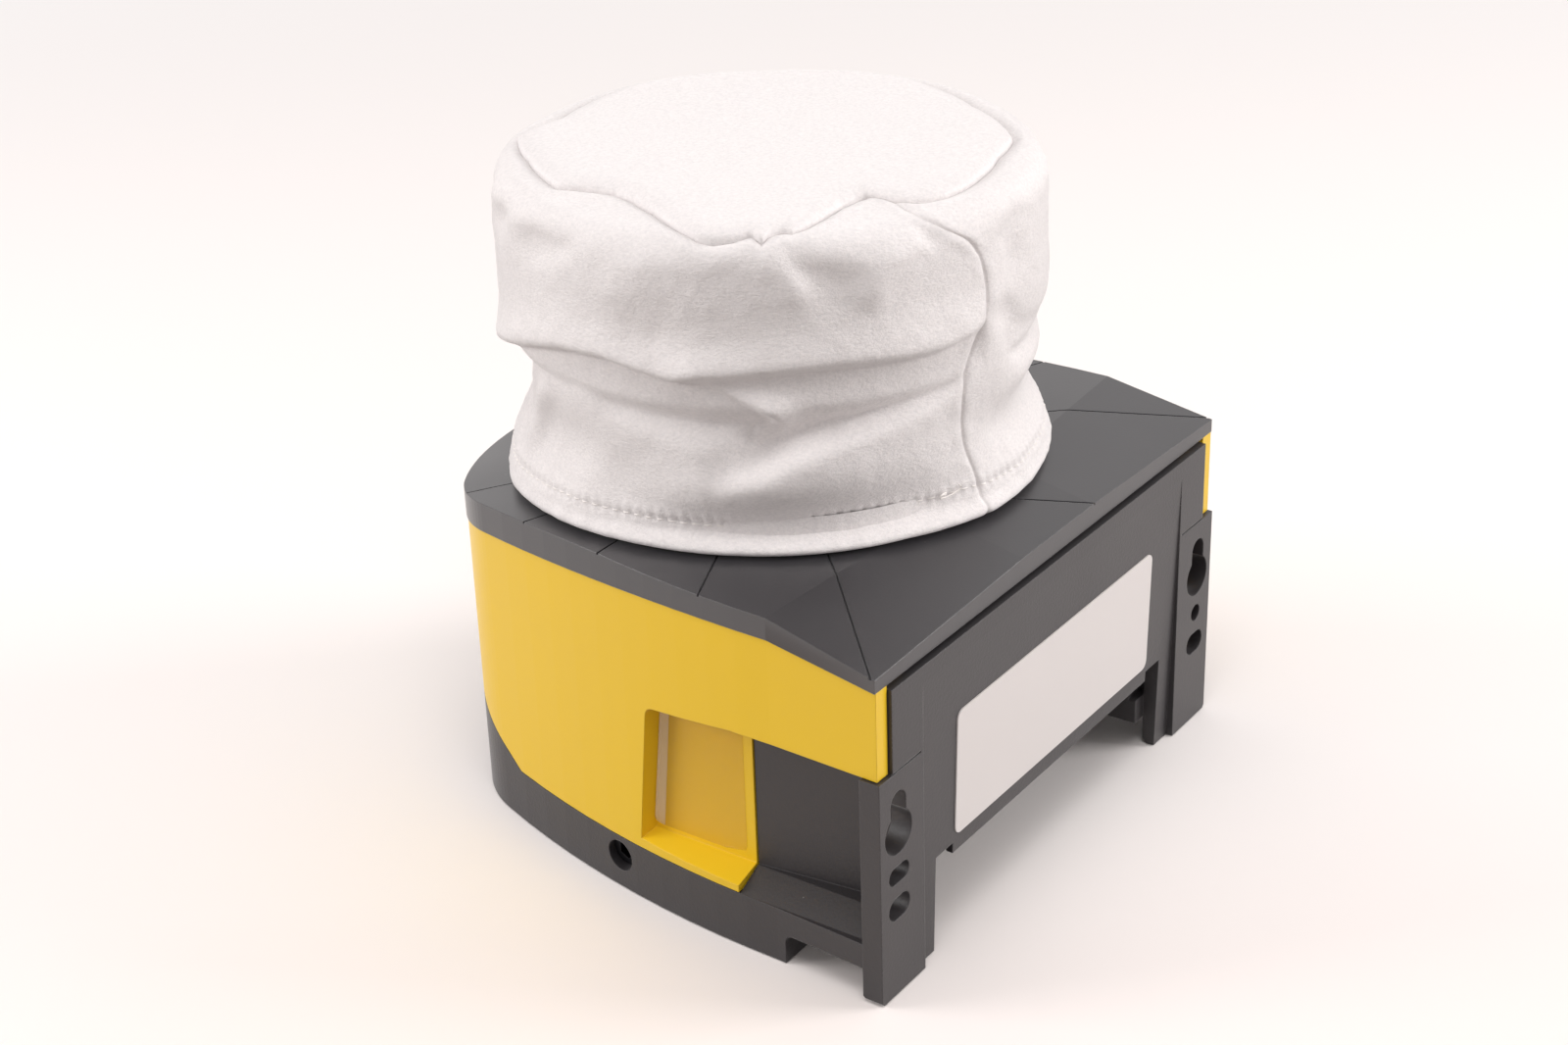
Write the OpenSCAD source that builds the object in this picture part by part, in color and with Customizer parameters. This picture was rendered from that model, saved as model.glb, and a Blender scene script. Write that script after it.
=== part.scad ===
// Safety laser scanner: a scanner unit with a rotating mirror, seated on a
// connection unit that carries the mounting ears and the connectors.
// Millimetres. Z up, front towards -Y, rear mounting face at +Y, origin on the
// resting plane, half-way between the front and the mounting face.

/* [Outline] */
// Overall width, across the mounting ears
body_w = 140; // [134:1:152]
// Overall depth, from the mounting face to the front
body_d = 140; // [136:1:150]
// Radius of the bulging side walls
side_r = 250; // [220:5:300]
// Radius of the front corners
corner_r = 30; // [26:1:34]
// Distance from the front to the centres of the front corners
corner_back = 37.75; // [36:0.25:41]
// Side wall lies this far inside the ears at its widest point
side_inset = 1.8; // [1.2:0.1:3]
// Distance from the mounting face to the widest point
widest_back = 27; // [24:1:29]

/* [Connection unit] */
// Height of the foot under the scanner unit
foot_h = 12.8; // [12:0.2:16]
// Distance from the front to the foot of its sloped nose
nose_back = 34.5; // [32:0.5:36]
// Slope of its nose, in degrees
nose_slope = 31.5; // [28:0.5:34]
// Depth of the rear box
box_d = 36.4; // [34:0.2:42]
// Half width of the rear box at the ears
box_rear_half = 56.8; // [55:0.2:57.4]
// Wall thickness of the rear box
box_wall = 2.5; // [2:0.1:3.2]
// Thickness of the mounting ears
ear_t = 4.7; // [3.5:0.1:6]
// Width of one mounting ear
ear_w = 15; // [13:0.5:16]
// Height of the mounting ears
ear_h = 52; // [50:0.5:54]
// Cable channel: its depth from the ears forwards
channel_d = 20.3; // [18:0.1:22]
// Cable channel: its height above the resting plane
channel_h = 7; // [5:0.5:8]
// Half width of the connector bay
bay_half = 44; // [40:0.5:46]
// Height of the ceiling of the connector bay
bay_h = 26; // [24:0.5:30]
// Lean of the rear wall between the ears, in degrees
wall_lean = 1.45; // [0.5:0.05:2]

/* [Mounting holes] */
// Hole columns: their distance from the outer edge of the ear
hole_edge = 6.6; // [6:0.1:8]
// Height of the lower slots
slot_z = 20.65; // [19.5:0.05:22]
// Width of the lower slots
slot_w = 5.2; // [4.4:0.1:5.6]
// Length of the lower slots
slot_len = 7.6; // [6.4:0.1:8.4]
// Height of the locating hole and the locating slot
locate_z = 28.5; // [27.5:0.1:29.5]
// Radius of the locating hole
locate_r = 2.05; // [1.6:0.05:2.3]
// Length of the locating slot
locate_len = 7.3; // [5.5:0.1:8]
// Height of the wide end of the keyholes
key_z = 38.1; // [37.6:0.1:39]
// Radius of the wide end of the keyholes
key_r = 4.85; // [4.2:0.05:5]
// Radius of the narrow end of the keyholes
key_neck_r = 2.8; // [2.3:0.1:3.2]
// Distance between the two ends of the keyholes
key_rise = 6.7; // [6:0.1:8]

/* [Locks] */
// Radius of the quarter-turn locks
lock_r = 3.6; // [3:0.1:4.2]
// Length of a lock
lock_len = 11; // [9:0.5:12]
// Depth of a lock below the side wall
lock_sink = 3; // [2:0.5:4]
// Height of the lock axis
lock_z = 7.8; // [7.2:0.1:8]
// Width across flats of the hexagon socket in a lock
lock_hex = 4; // [3:0.5:4]

/* [Scanner housing] */
// Wall thickness of the housing
wall = 3; // [2.5:0.1:3.4]
// Height of the underside of the housing over the side pocket, at the rear
overhang_z = 52.4; // [52.2:0.1:54]
// Half width of the housing between the side recesses
recess_half = 61; // [60.5:0.25:62]
// Length of the side recess, in front of the rear box
recess_len = 26.2; // [20:0.2:27]
// Bottom of the side recess, at its panel
recess_z = 16.5; // [16.3:0.1:19]
// Height of the roof of the side recess, at its front
recess_top = 48.3; // [46:0.1:49]
// Lean of the front of the side recess, in degrees
recess_lean = 6.2; // [0:0.2:12]
// Draft of the front of the side recess, in degrees
recess_draft = 12; // [0:1:20]

/* [Top plate] */
// Height of the flat top around the head
plate_top = 81; // [80.5:0.5:83]
// Underside of the plate at the rear edge
plate_low = 71.35; // [70.8:0.05:72]
// Rise of the underside from the rear edge to the shoulder
plate_rise = 4.05; // [3:0.05:5]
// Upper edge of the plate at the rear corners
rear_edge_z = 75; // [74.5:0.1:76]
// Thickness of the plate inside its rim
plate_t = 3.4; // [2.6:0.1:4]
// Radius of the downward curve of the plate towards the front
bow_r = 340; // [300:5:420]
// Width of the sight grooves
groove_w = 0.45; // [0.3:0.05:0.8]
// Depth of the sight grooves
groove_d = 0.45; // [0.3:0.05:0.7]
// Angle between neighbouring sight grooves
groove_pitch = 22.5; // [22.5]

/* [Head] */
// Head axis in front of the middle of the body
head_front = 1.5; // [0:0.25:3]
// Radius of the window at its foot
window_r = 46.4; // [45.4:0.2:47.4]
// Flare of the window from its foot to its top
window_flare = 5.6; // [5:0.1:6.2]
// Height of the window
window_h = 38.4; // [37:0.2:39]
// Thickness of the window
window_t = 2.6; // [2:0.1:3]
// Width of the rim of the head cap over the window
cap_over = 4; // [3.6:0.1:5]
// Height of the head cap over its seat on the window
cap_h = 26.4; // [25:0.2:29]

/* [Optics] */
// Radius of the mirror carrier
mirror_r = 18; // [15:0.5:18]
// Radius of the motor shaft
shaft_r = 3; // [2:0.25:4]
// Gap between the optics tube and the rear wall of the scanner unit
tube_gap = 1.8; // [1.6:0.1:4]

/* [Dust hood] */
// Thickness of the fleece of the dust hood
fleece_t = 1.5; // [1:0.1:1.8]
// Slack of the hem outside the cap
hem_slack = 1.5; // [0.8:0.1:2.5]
// Slack of the fleece at its waist, outside the window
waist_slack = 3.4; // [2.6:0.1:4]
// Height of the waist over the top plate
waist_up = 16.5; // [14:0.5:18]

/* [Hidden] */
$fn = 72;

clear = 0.3;        // gap between parts that slide past each other
run = 0.05;         // radial gap of a running fit
seam = 0.2;         // visible joint line between the two units
big = 400;          // larger than the whole device

half_w = body_w / 2;
rear_y = body_d / 2;
front_y = -body_d / 2;
plate_back = rear_y - 0.9;  // rear edge of the top plate
corner_x = half_w - 0.35;   // rear corners of the top plate
shell_inset = 0.3;          // walls lie this far inside the edge of the plate
widest_x = half_w - side_inset;
widest_y = rear_y - widest_back;
head_y = -head_front;

// Turn of the side wall before the corner starts, and the three tangent arcs
side_turn = asin((widest_y - front_y - corner_back) / (side_r - corner_r));
side_c = [widest_x - side_r, widest_y];
corner_c = side_c + (side_r - corner_r) * [cos(side_turn), -sin(side_turn)];
front_r = (corner_back * corner_back + corner_c.x * corner_c.x - corner_r * corner_r)
    / (2 * (corner_back - corner_r));
front_c = [0, front_y + front_r];
front_turn = atan2(front_c.y - corner_c.y, corner_c.x);

function arc(c, r, from, to, n) =
    [for (i = [0:n]) let (a = from + (to - from) * i / n) c + r * [cos(a), sin(a)]];
function mirrored(pts) = [for (i = [len(pts) - 1:-1:0]) [-pts[i].x, pts[i].y]];

// Right half of the outline from the front to the widest point, moved inwards
function right_side(inset) = concat(
    arc(front_c, front_r - inset, -90, -front_turn, 12),
    arc(corner_c, corner_r - inset, -front_turn + 4, -side_turn, 10),
    arc(side_c, side_r - inset, -side_turn + 2, 0, 10));

// Half width of the outline at a distance y
function edge_x(inset, y) = y > widest_y
    ? widest_x - inset + (corner_x - widest_x) * (y - widest_y) / (plate_back - widest_y)
    : side_c.x + sqrt(pow(side_r - inset, 2) - pow(y - side_c.y, 2));

// Plan view of the device, moved inwards by inset and ended at y = back
module plan(inset, back) {
    half = concat([for (p = right_side(inset)) if (p.y < back - 0.5) p],
        [[edge_x(inset, back), back]]);
    polygon(concat(half, mirrored(half)));
}

module slab(x0, x1, y0, y1, z0, z1)
    translate([x0, y0, z0]) cube([x1 - x0, y1 - y0, z1 - z0]);

module both_sides() { children(); mirror([1, 0, 0]) children(); }

// Seat between the two units, level at the rear and sloped up at the front
seat_y = front_y + nose_back;
function seat_z(y) = foot_h + tan(nose_slope) * max(0, seat_y - y);

// Everything below the seat, raised by lift
module below_seat(lift) translate([-big / 2, 0, 0]) rotate([90, 0, 90])
    linear_extrude(big) polygon([[rear_y + 5, -1], [rear_y + 5, foot_h + lift],
        [seat_y, foot_h + lift], [front_y - 5, seat_z(front_y - 5) + lift],
        [front_y - 5, -1]]);

// ---- Connection unit ------------------------------------------------------

ear_front = rear_y - ear_t;
channel_front = ear_front - channel_d;
box_front = rear_y - box_d;
inner_back = box_front - clear - wall;  // inside of the rear wall of the scanner unit
hole_x = half_w - hole_edge;
ear_in = half_w - ear_w;
box_half = recess_half - 0.3;           // half width of the rear box at its front, flush with the recess
leg_half = ear_in - 7;
wall_top = plate_low - 0.45;
lip_half = bay_half - 2.5;
lip_z = bay_h - 5.5;
wedge_z = recess_z - 0.3;               // height of the pocket floor beside the box
flange_half = half_w - 4.8;
flange_t = 2.7;
lean_top = 67;

// Slot along X through an ear
module ear_slot(z, w, len) {
    for (s = [-1, 1]) translate([hole_x + s * (len - w) / 2, rear_y + 1, z])
        rotate([90, 0, 0]) cylinder(d = w, h = ear_t + 2, $fn = 32);
    slab(hole_x - (len - w) / 2, hole_x + (len - w) / 2, ear_front - 1, rear_y + 1,
        z - w / 2, z + w / 2);
}

module ear_bore(z, r)
    translate([hole_x, rear_y + 1, z]) rotate([90, 0, 0])
        cylinder(r = r, h = ear_t + 2, $fn = 48);

module keyhole() {
    ear_bore(key_z, key_r);
    ear_bore(key_z + key_rise, key_neck_r);
    slab(hole_x - key_neck_r, hole_x + key_neck_r, ear_front - 1, rear_y + 1,
        key_z, key_z + key_rise);
}

// Ear with the leg beside it, cut to its rounded lower corner
module ear() {
    corner = 1;
    difference() {
        slab(leg_half, half_w, ear_front, rear_y, 0, ear_h);
        translate([half_w, 0, 0]) rotate([0, 45, 0])
            cube([corner, big, corner * 1.2], center = true);
        translate([0, ear_front, 0]) rotate([45, 0, 0])
            cube([big, 1.6, 1.6], center = true);
    }
}

// Closed lower body of the foot, open at the connector bay
module foot() {
    difference() {
        intersection() {
            linear_extrude(big) plan(shell_inset, ear_front);
            below_seat(0);
        }
        slab(-bay_half, bay_half, channel_front, rear_y, -1, foot_h + 1);
        slab(-big, big, channel_front + 2, rear_y, -1, channel_h);
        translate([-big, channel_front + 2, channel_h - 2]) rotate([0, 90, 0])
            cylinder(r = 2, h = 2 * big, $fn = 24);
        slab(-big, big, channel_front, channel_front + 2.01, -1, channel_h - 2);
    }
}

// Outline of the rear box, narrower towards the ears, moved outwards by out
module box_plan(out, back) polygon([[-box_half - out, box_front - out],
    [box_half + out, box_front - out], [box_rear_half + out, ear_front],
    [box_rear_half + out, back], [-box_rear_half - out, back],
    [-box_rear_half - out, ear_front]]);

// Floor of the side pockets, which falls outwards like the bottom of the recess before it
module pocket_floor() intersection() {
    linear_extrude(big) plan(shell_inset, ear_front + 0.01);
    both_sides() translate([0, ear_front + 0.01, 0]) rotate([90, 0, 0])
        linear_extrude(ear_front - box_front)
        polygon([[box_rear_half - 3, foot_h - 2], [half_w, foot_h - 2], [half_w, foot_h],
            [half_w - 2.4, foot_h], [recess_half, wedge_z], [box_rear_half - 3, wedge_z]]);
}

module rear_box() {
    difference() {
        translate([0, 0, foot_h]) linear_extrude(wall_top - foot_h) box_plan(0, rear_y);
        slab(-box_rear_half + box_wall, box_rear_half - box_wall, box_front + box_wall,
            rear_y - box_wall - 1.2, bay_h + box_wall, wall_top - box_wall);
        slab(-bay_half, bay_half, channel_front, ear_front - 1.8, -1, bay_h);
        slab(-bay_half - 6, bay_half + 6, ear_front - 1.81, rear_y + 1, -1, bay_h - 3);
    }
}

// Flange of the rear wall that shows beside the housing corners
module rear_flange()
    slab(-flange_half, flange_half, rear_y - flange_t, rear_y, ear_h, wall_top);

// Lower lip of the rear wall
module lip()
    translate([-lip_half, 0, 0]) rotate([90, 0, 90]) linear_extrude(2 * lip_half)
        polygon([[rear_y, lip_z], [rear_y - 2.5, lip_z], [rear_y - 3.3, lip_z + 0.8],
            [rear_y - 3.3, bay_h], [rear_y, bay_h]]);

module lean_cut()
    translate([-ear_in + 1, rear_y, lean_top]) rotate([-wall_lean, 0, 0])
        translate([0, 0, -lean_top - 5])
            cube([2 * (ear_in - 1), 6, lean_top + 5]);

lock_y = head_y + 0.5;
// Half width of the outline beside the lock
lock_side = side_c.x + sqrt(side_r * side_r - pow(lock_y - side_c.y, 2));
lock_out = lock_side - lock_sink;
lock_in = lock_out - lock_len;

module lock_bore()
    translate([lock_in - clear, lock_y, lock_z]) rotate([0, 90, 0])
        cylinder(r = lock_r + run, h = lock_len + lock_sink + 10, $fn = 64);

plug_half = 21;     // contact block between the two units
plug_deep = 10;
plug_y = inner_back - 2 - plug_deep;
conn_x = 19;
conn_y = (channel_front + ear_front - 1.8) / 2;
conn_r = 6;         // M12 thread of the connectors
conn_len = 8.6;     // length of a connector below the ceiling of the bay

module connection_housing() color("#4c4b4d")
    difference() {
        union() {
            foot();
            rear_box();
            pocket_floor();
            rear_flange();
            lip();
            both_sides() ear();
        }
        lean_cut();
        both_sides() {
            slab(ear_in, half_w, rear_y - 0.3, big, ear_h, ear_h + 0.4);
            keyhole();
            ear_slot(slot_z, slot_w, slot_len);
            lock_bore();
            hook_slot();
        }
        ear_slot(locate_z, 2 * locate_r - 0.1, locate_len);
        mirror([1, 0, 0]) ear_bore(locate_z, locate_r);
        for (s = [-1, 1]) translate([s * conn_x, conn_y, bay_h - 1])
            cylinder(r = conn_r + 0.1, h = box_wall + 2, $fn = 64);
        contact_block(foot_h - plug_sink, foot_h + 1, 0);
        contact_ring(1);
    }

// Bare type plate on the leaning rear wall
label_half = 41;
label_z0 = 24.6;
label_z1 = 54;
label_t = 0.3;
module rear_label() color("#e4dedd")
    translate([0, rear_y, lean_top]) rotate([-wall_lean, 0, 0])
        translate([0, 0, -lean_top]) rotate([90, 0, 180]) mirror([0, 0, 1])
            translate([0, 0, -label_t]) linear_extrude(label_t) rounded(
                -label_half, label_half, label_z0, label_z1, 2);

// Rectangle with round corners, made of exact arcs
module rounded(x0, x1, y0, y1, r) {
    for (x = [x0 + r, x1 - r], y = [y0 + r, y1 - r]) translate([x, y])
        circle(r, $fn = 32);
    translate([x0 + r, y0]) square([x1 - x0 - 2 * r, y1 - y0]);
    translate([x0, y0 + r]) square([x1 - x0, y1 - y0 - 2 * r]);
}

board_t = 1.6;
cboard_y = box_front + box_wall + 8;
module connection_board() color("#1f6b3a")
    slab(-box_rear_half + box_wall + clear, box_rear_half - box_wall - clear,
        cboard_y, cboard_y + board_t, bay_h + box_wall, wall_top - box_wall - 4);

// Threaded round connector that hangs from the ceiling of the bay
module connector_shell(x) translate([x, conn_y, 0]) difference() {
    union() {
        translate([0, 0, bay_h - conn_len])
            cylinder(r = conn_r, h = conn_len + box_wall + 0.5);
        translate([0, 0, bay_h - 2]) cylinder(r = 8.6, h = 2, $fn = 6);
        translate([0, 0, bay_h + box_wall]) cylinder(r = 7.6, h = 1.6);
    }
    translate([0, 0, bay_h - conn_len - 0.4]) cylinder(r = conn_r - 1.4, h = conn_len - 0.6);
}

// Contact carrier of a connector with its ring of pins
module connector_pins(x, count) translate([x, conn_y, 0]) {
    translate([0, 0, bay_h - 2.5]) cylinder(r = conn_r - 1.4, h = 1.5);
    for (i = [0:count - 1]) rotate(i * 360 / count)
        translate([2.6, 0, bay_h - conn_len + 1.1]) cylinder(r = 0.5, h = 6, $fn = 16);
}

module supply_connector() color("#b9b9b4") connector_shell(-conn_x);
module network_connector() color("#b9b9b4") connector_shell(conn_x);
module supply_insert() color("#222225") connector_pins(-conn_x, 5);
module network_insert() color("#222225") connector_pins(conn_x, 4);

// Block of the contacts, its sides moved inwards by inset
plug_rim = 1.5;
plug_sink = 9;      // depth of the plug in the foot
plug_depth = 5;     // depth of the socket in the plug
module contact_block(z0, z1, inset) slab(-plug_half + inset, plug_half - inset,
    plug_y + inset, plug_y + plug_deep - inset, z0, z1);

module unit_plug() color("#2a2a2c") difference() {
    contact_block(foot_h - plug_sink, foot_h, 0);
    contact_block(foot_h - plug_depth, foot_h + 1, plug_rim);
}

// Socket in the floor of the scanner unit, with its tongue in the plug
module unit_socket() color("#39393c") {
    contact_block(foot_h + seam, floor_z, 0);
    contact_block(foot_h - plug_depth + 1, foot_h + seam + 0.01, plug_rim + clear);
}

cseal_w = 1.6;
cseal_sink = 1;
module contact_ring(extra) translate([0, 0, foot_h - cseal_sink])
    linear_extrude(cseal_sink + extra) difference() {
        rounded(-plug_half - 1 - cseal_w, plug_half + 1 + cseal_w,
            plug_y - 1 - cseal_w, plug_y + plug_deep + 1 + cseal_w, 3);
        rounded(-plug_half - 1, plug_half + 1, plug_y - 1, plug_y + plug_deep + 1, 1);
    }
module contact_seal() color("#202022") contact_ring(seam);

// ---- Quarter-turn locks ---------------------------------------------------

cam_len = 3.4;      // length of the half-round cam at the inner end
cam_flat = 0.8;     // distance of the flat of the cam from the axis
hook_w = 3;         // thickness of the leg of a hook
nose_t = 1.5;       // thickness of its nose, under the cam
nose_gap = 0.7;     // gap between its nose and the flat when the lock is open
nose_top = lock_z - sqrt(lock_r * lock_r - pow(cam_flat + nose_gap, 2)) - clear;
hook_y = lock_y + lock_r + clear;

// The flat of the cam is on top when the lock is closed, and faces the hook when open
module lock() translate([0, lock_y, lock_z]) rotate([0, 90, 0]) difference() {
    translate([0, 0, lock_in]) cylinder(r = lock_r, h = lock_len, $fn = 64);
    translate([0, 0, lock_out - 4]) cylinder(d = lock_hex / cos(30), h = 5, $fn = 6);
    translate([-cam_flat - 2 * lock_r, -lock_r - 1, lock_in - 1])
        cube([2 * lock_r, 2 * lock_r + 2, cam_len + 1]);
}
module lock_right() color("#2d2d2f") lock();
module lock_left() color("#2d2d2f") mirror([1, 0, 0]) lock();

// Slot in the foot for the hook, beside and under the cam
module hook_slot()
    slab(lock_in, lock_in + cam_len, lock_y + cam_flat + clear, hook_y + hook_w + clear,
        nose_top - nose_t - clear, foot_h + 1);

// Hooks under the floor of the scanner unit, each with its nose under a cam
module latch_hooks() color("#9a9a98") both_sides() {
    slab(lock_in + clear, lock_in + cam_len - clear, hook_y, hook_y + hook_w,
        nose_top - nose_t, foot_h + seam);
    slab(lock_in + clear, lock_in + cam_len - clear, lock_y + cam_flat + nose_gap,
        hook_y + 0.01, nose_top - nose_t, nose_top);
}

// ---- Scanner housing ------------------------------------------------------

floor_z = foot_h + seam + wall;
shoulder_y = widest_y;
low_r = 560;
low_arc_y = widest_y - 8;

// Side view of the underside of the top plate, from the rear to the front
function low_z(y) = y > shoulder_y
    ? plate_low + plate_rise * (rear_y - 0.9 - y) / (rear_y - 0.9 - shoulder_y)
    : plate_low + plate_rise - (y < low_arc_y
        ? low_r - sqrt(low_r * low_r - pow(low_arc_y - y, 2)) : 0);

// Everything below the underside of the top plate, lowered by drop
module below_plate(drop) {
    back = rear_y + 5;
    curve = [for (y = [low_arc_y:-6:front_y - 5]) [y, low_z(y) - drop]];
    translate([-half_w, 0, 0]) rotate([90, 0, 90]) linear_extrude(2 * half_w)
        polygon(concat([[back, -1], [back, low_z(rear_y) - drop],
            [shoulder_y, low_z(shoulder_y) - drop]], curve, [[front_y - 5, -1]]));
}

// Front of the side recess, and the roof over it and over the pocket behind it
recess_front = box_front - clear - recess_len;
roof_rise = overhang_z - 0.9 - recess_top;
roof_angle = atan(roof_rise / recess_len);
roof_r = 2.5;       // corner between the front and the roof
front_n = [cos(recess_lean), -sin(recess_lean)];
roof_n = [sin(roof_angle), -cos(roof_angle)];
front_d = front_n * [0, recess_z] + roof_r;
roof_d = roof_n * [0, recess_top] + roof_r;
roof_det = front_n.x * roof_n.y - front_n.y * roof_n.x;
roof_c = [(front_d * roof_n.y - roof_d * front_n.y) / roof_det,
    (front_n.x * roof_d - roof_n.x * front_d) / roof_det];

// Side recess: upright panel, bottom that falls outwards, leaning front, round upper corner
module side_recess() intersection() {
    translate([0, box_front - clear + 0.01, 0]) rotate([90, 0, 0])
        linear_extrude(recess_len + 8) polygon([[recess_half, recess_z],
            [recess_half, big], [half_w + 5, big], [half_w + 5, recess_z - 4]]);
    translate([recess_half, recess_front, 0]) rotate([0, 0, -recess_draft])
        rotate([90, 0, 90]) translate([0, 0, -8]) linear_extrude(24) polygon(concat(
            [[-(recess_z + 5) * tan(recess_lean), -5]],
            arc(roof_c, roof_r, 180 - recess_lean, 90 + roof_angle, 6),
            [[60, recess_top + 60 * tan(roof_angle)], [60, -5]]));
}

// Space under the overhang, behind the recess
module under_overhang() translate([-half_w - 1, 0, 0]) rotate([90, 0, 90])
    linear_extrude(2 * half_w + 2) polygon([[box_front - clear, -1],
        [box_front - clear, overhang_z - 0.9], [rear_y + 5, overhang_z], [rear_y + 5, -1]]);

display_half = 25;
display_z0 = 38;
display_z1 = 60;

module inner_space() {
    difference() {
        translate([0, 0, floor_z]) linear_extrude(big) plan(wall, inner_back);
        below_seat(seam + wall);
        both_sides() slab(recess_half - wall, half_w, box_front - recess_len - wall,
            rear_y, 0, overhang_z + wall);
    }
}

module scanner_housing() color("#e5bb3f")
    difference() {
        intersection() {
            linear_extrude(big) plan(shell_inset, plate_back);
            below_plate(0);
        }
        below_seat(seam);
        inner_space();
        linear_extrude(big) box_plan(clear, big);
        slab(-flange_half - clear, flange_half + clear, rear_y - flange_t - clear, big,
            0, big);
        under_overhang();
        both_sides() side_recess();
        contact_block(0, floor_z + 1, 0);
        slab(-display_half, display_half, front_y - 1, 0, display_z0, display_z1);
        seal_groove();
    }

seal_t = 0.8;
module seal_ring() linear_extrude(big) difference() {
    plan(1, inner_back + 2);
    plan(2, inner_back + 1);
}
module seal_groove() difference() { seal_ring(); below_plate(seal_t); }
module housing_seal() color("#202022")
    intersection() { seal_ring(); difference() { below_plate(0); below_plate(seal_t); } }

module display_window() color("#1b1b1f") intersection() {
    translate([0, 0, display_z0 + 0.2]) linear_extrude(display_z1 - display_z0 - 0.4)
        difference() { plan(0.3, inner_back); plan(wall, inner_back - wall); }
    slab(-display_half + 0.2, display_half - 0.2, front_y - 1, 0, 0, big);
}

display_y = front_y + 10;
module display_module() color("#1f5a33") {
    slab(3 - display_half, display_half - 3, display_y, display_y + board_t,
        display_z0 + 1, display_z1 - 1);
    slab(10 - display_half, display_half - 10, display_y - 4, display_y,
        display_z0 + 10, display_z1 - 3);
}

pipe_pitch = 8;
pipe_r = 1.6;
module light_pipes() color("#dfe3e6")
    for (i = [-2:2]) translate([i * pipe_pitch, display_y, display_z0 + 5])
        rotate([90, 0, 0]) cylinder(r = pipe_r,
            h = front_y_at(abs(i) * pipe_pitch + pipe_r) - 0.1, $fn = 24);
// Room between the display board and the inside of the window at distance x
function front_y_at(x) = display_y - front_c.y
    + sqrt(pow(front_r - wall, 2) - x * x);

// ---- Boards and optics ----------------------------------------------------

io_z = floor_z + 8;
main_z = 58;
post_r = 3;
posts = [for (s = [-1, 1], p = [[widest_x - 22.2, inner_back - 12],
    [widest_x - 30.2, seat_y + post_r + 1]]) [s * p.x, p.y]];

// Board between the walls, from y = front to the rear
module board(z, front) intersection() {
    translate([0, 0, z]) linear_extrude(board_t) difference() {
        plan(wall + 9.5, inner_back - 2);
        translate([0, head_y]) circle(tube_r + 0.5);
    }
    slab(-big, big, front, big, 0, big);
}
module io_board() color("#1f6b3a") board(io_z, seat_y - 7);
module main_board() color("#1f6b3a") board(main_z, front_y);
module board_posts() color("#c9c9c4") for (p = posts) translate([p.x, p.y, 0]) {
    translate([0, 0, floor_z]) cylinder(r = post_r, h = io_z - floor_z, $fn = 32);
    translate([0, 0, io_z + board_t])
        cylinder(r = post_r, h = main_z - io_z - board_t, $fn = 32);
}

tube_r = inner_back - head_y - tube_gap;
tube_top = 76.5;
lens_z = 69.5;
module at_head() translate([0, head_y, 0]) children();

module optics_tube() color("#2b2b2e") at_head() difference() {
    translate([0, 0, floor_z]) cylinder(r = tube_r, h = tube_top - floor_z);
    translate([0, 0, floor_z + 3]) cylinder(r = tube_r - 3.5, h = lens_z - floor_z - 3);
    translate([0, 0, lens_z - 0.01]) cylinder(r = tube_r - 2, h = 20);
}

laser_r = 5.5;
laser_sink = 14;    // length of the laser module below the lens
laser_up = 6.6;     // its length above the underside of the lens
module receiver_lens() color("#b8d4de") at_head() rotate_extrude()
    polygon(concat([[laser_r, lens_z], [tube_r - 2, lens_z], [tube_r - 2, lens_z + 1.6]],
        [for (i = [0:8]) let (r = (tube_r - 3) * (1 - i / 8) + laser_r * i / 8)
            [r, lens_z + 1.6 + 4.2 * (1 - pow(r / (tube_r - 3), 2))]]));

module laser_module() color("#b79b55") at_head() {
    translate([0, 0, lens_z - laser_sink])
        cylinder(r = laser_r - 1, h = laser_sink, $fn = 48);
    translate([0, 0, lens_z]) cylinder(r = laser_r, h = laser_up, $fn = 48);
}

rboard_z = 34;
module receiver_board() color("#1f6b3a") at_head() {
    difference() {
        translate([0, 0, rboard_z]) cylinder(r = tube_r - 3.5, h = board_t);
        translate([16, 0, rboard_z - 1]) cylinder(r = 2, h = 4, $fn = 24);
    }
    translate([0, 0, rboard_z + board_t]) cylinder(r = 4, h = 3, $fn = 32);
}

// ---- Top plate ------------------------------------------------------------

plate_hole_r = window_r - 10.4;
crest_z = 76.72;
crest_half = 14.5;
rear_pitch = atan(0.2048);
rear_roll = atan((crest_z - rear_edge_z) / (half_w - 0.35 - crest_half));
bow_y = rear_y - 60;
bow_drop = 0.5;

// Half space under a plane through a point of the rear edge
module rear_face(x, roll)
    translate([x, plate_back, crest_z]) rotate([-rear_pitch, 0, 0]) rotate([0, roll, 0])
        translate([-big / 2, -big / 2, -big / 4]) cube([big, big, big / 4]);

module plate_skin() intersection() {
    at_head() rotate_extrude() polygon([[0, 40], [0, plate_top], [50, plate_top],
        [74, plate_top - bow_drop], [110, plate_top - 1.2], [110, 40]]);
    rear_face(crest_half, rear_roll);
    rear_face(-crest_half, -rear_roll);
    rear_face(0, 0);
    union() {
        translate([-big / 2, bow_y, plate_top - bow_drop + 0.4 - bow_r])
            rotate([0, 90, 0]) cylinder(r = bow_r, h = big, $fn = 360);
        slab(-big / 2, big / 2, bow_y, big, 0, big / 2);
    }
}

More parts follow.
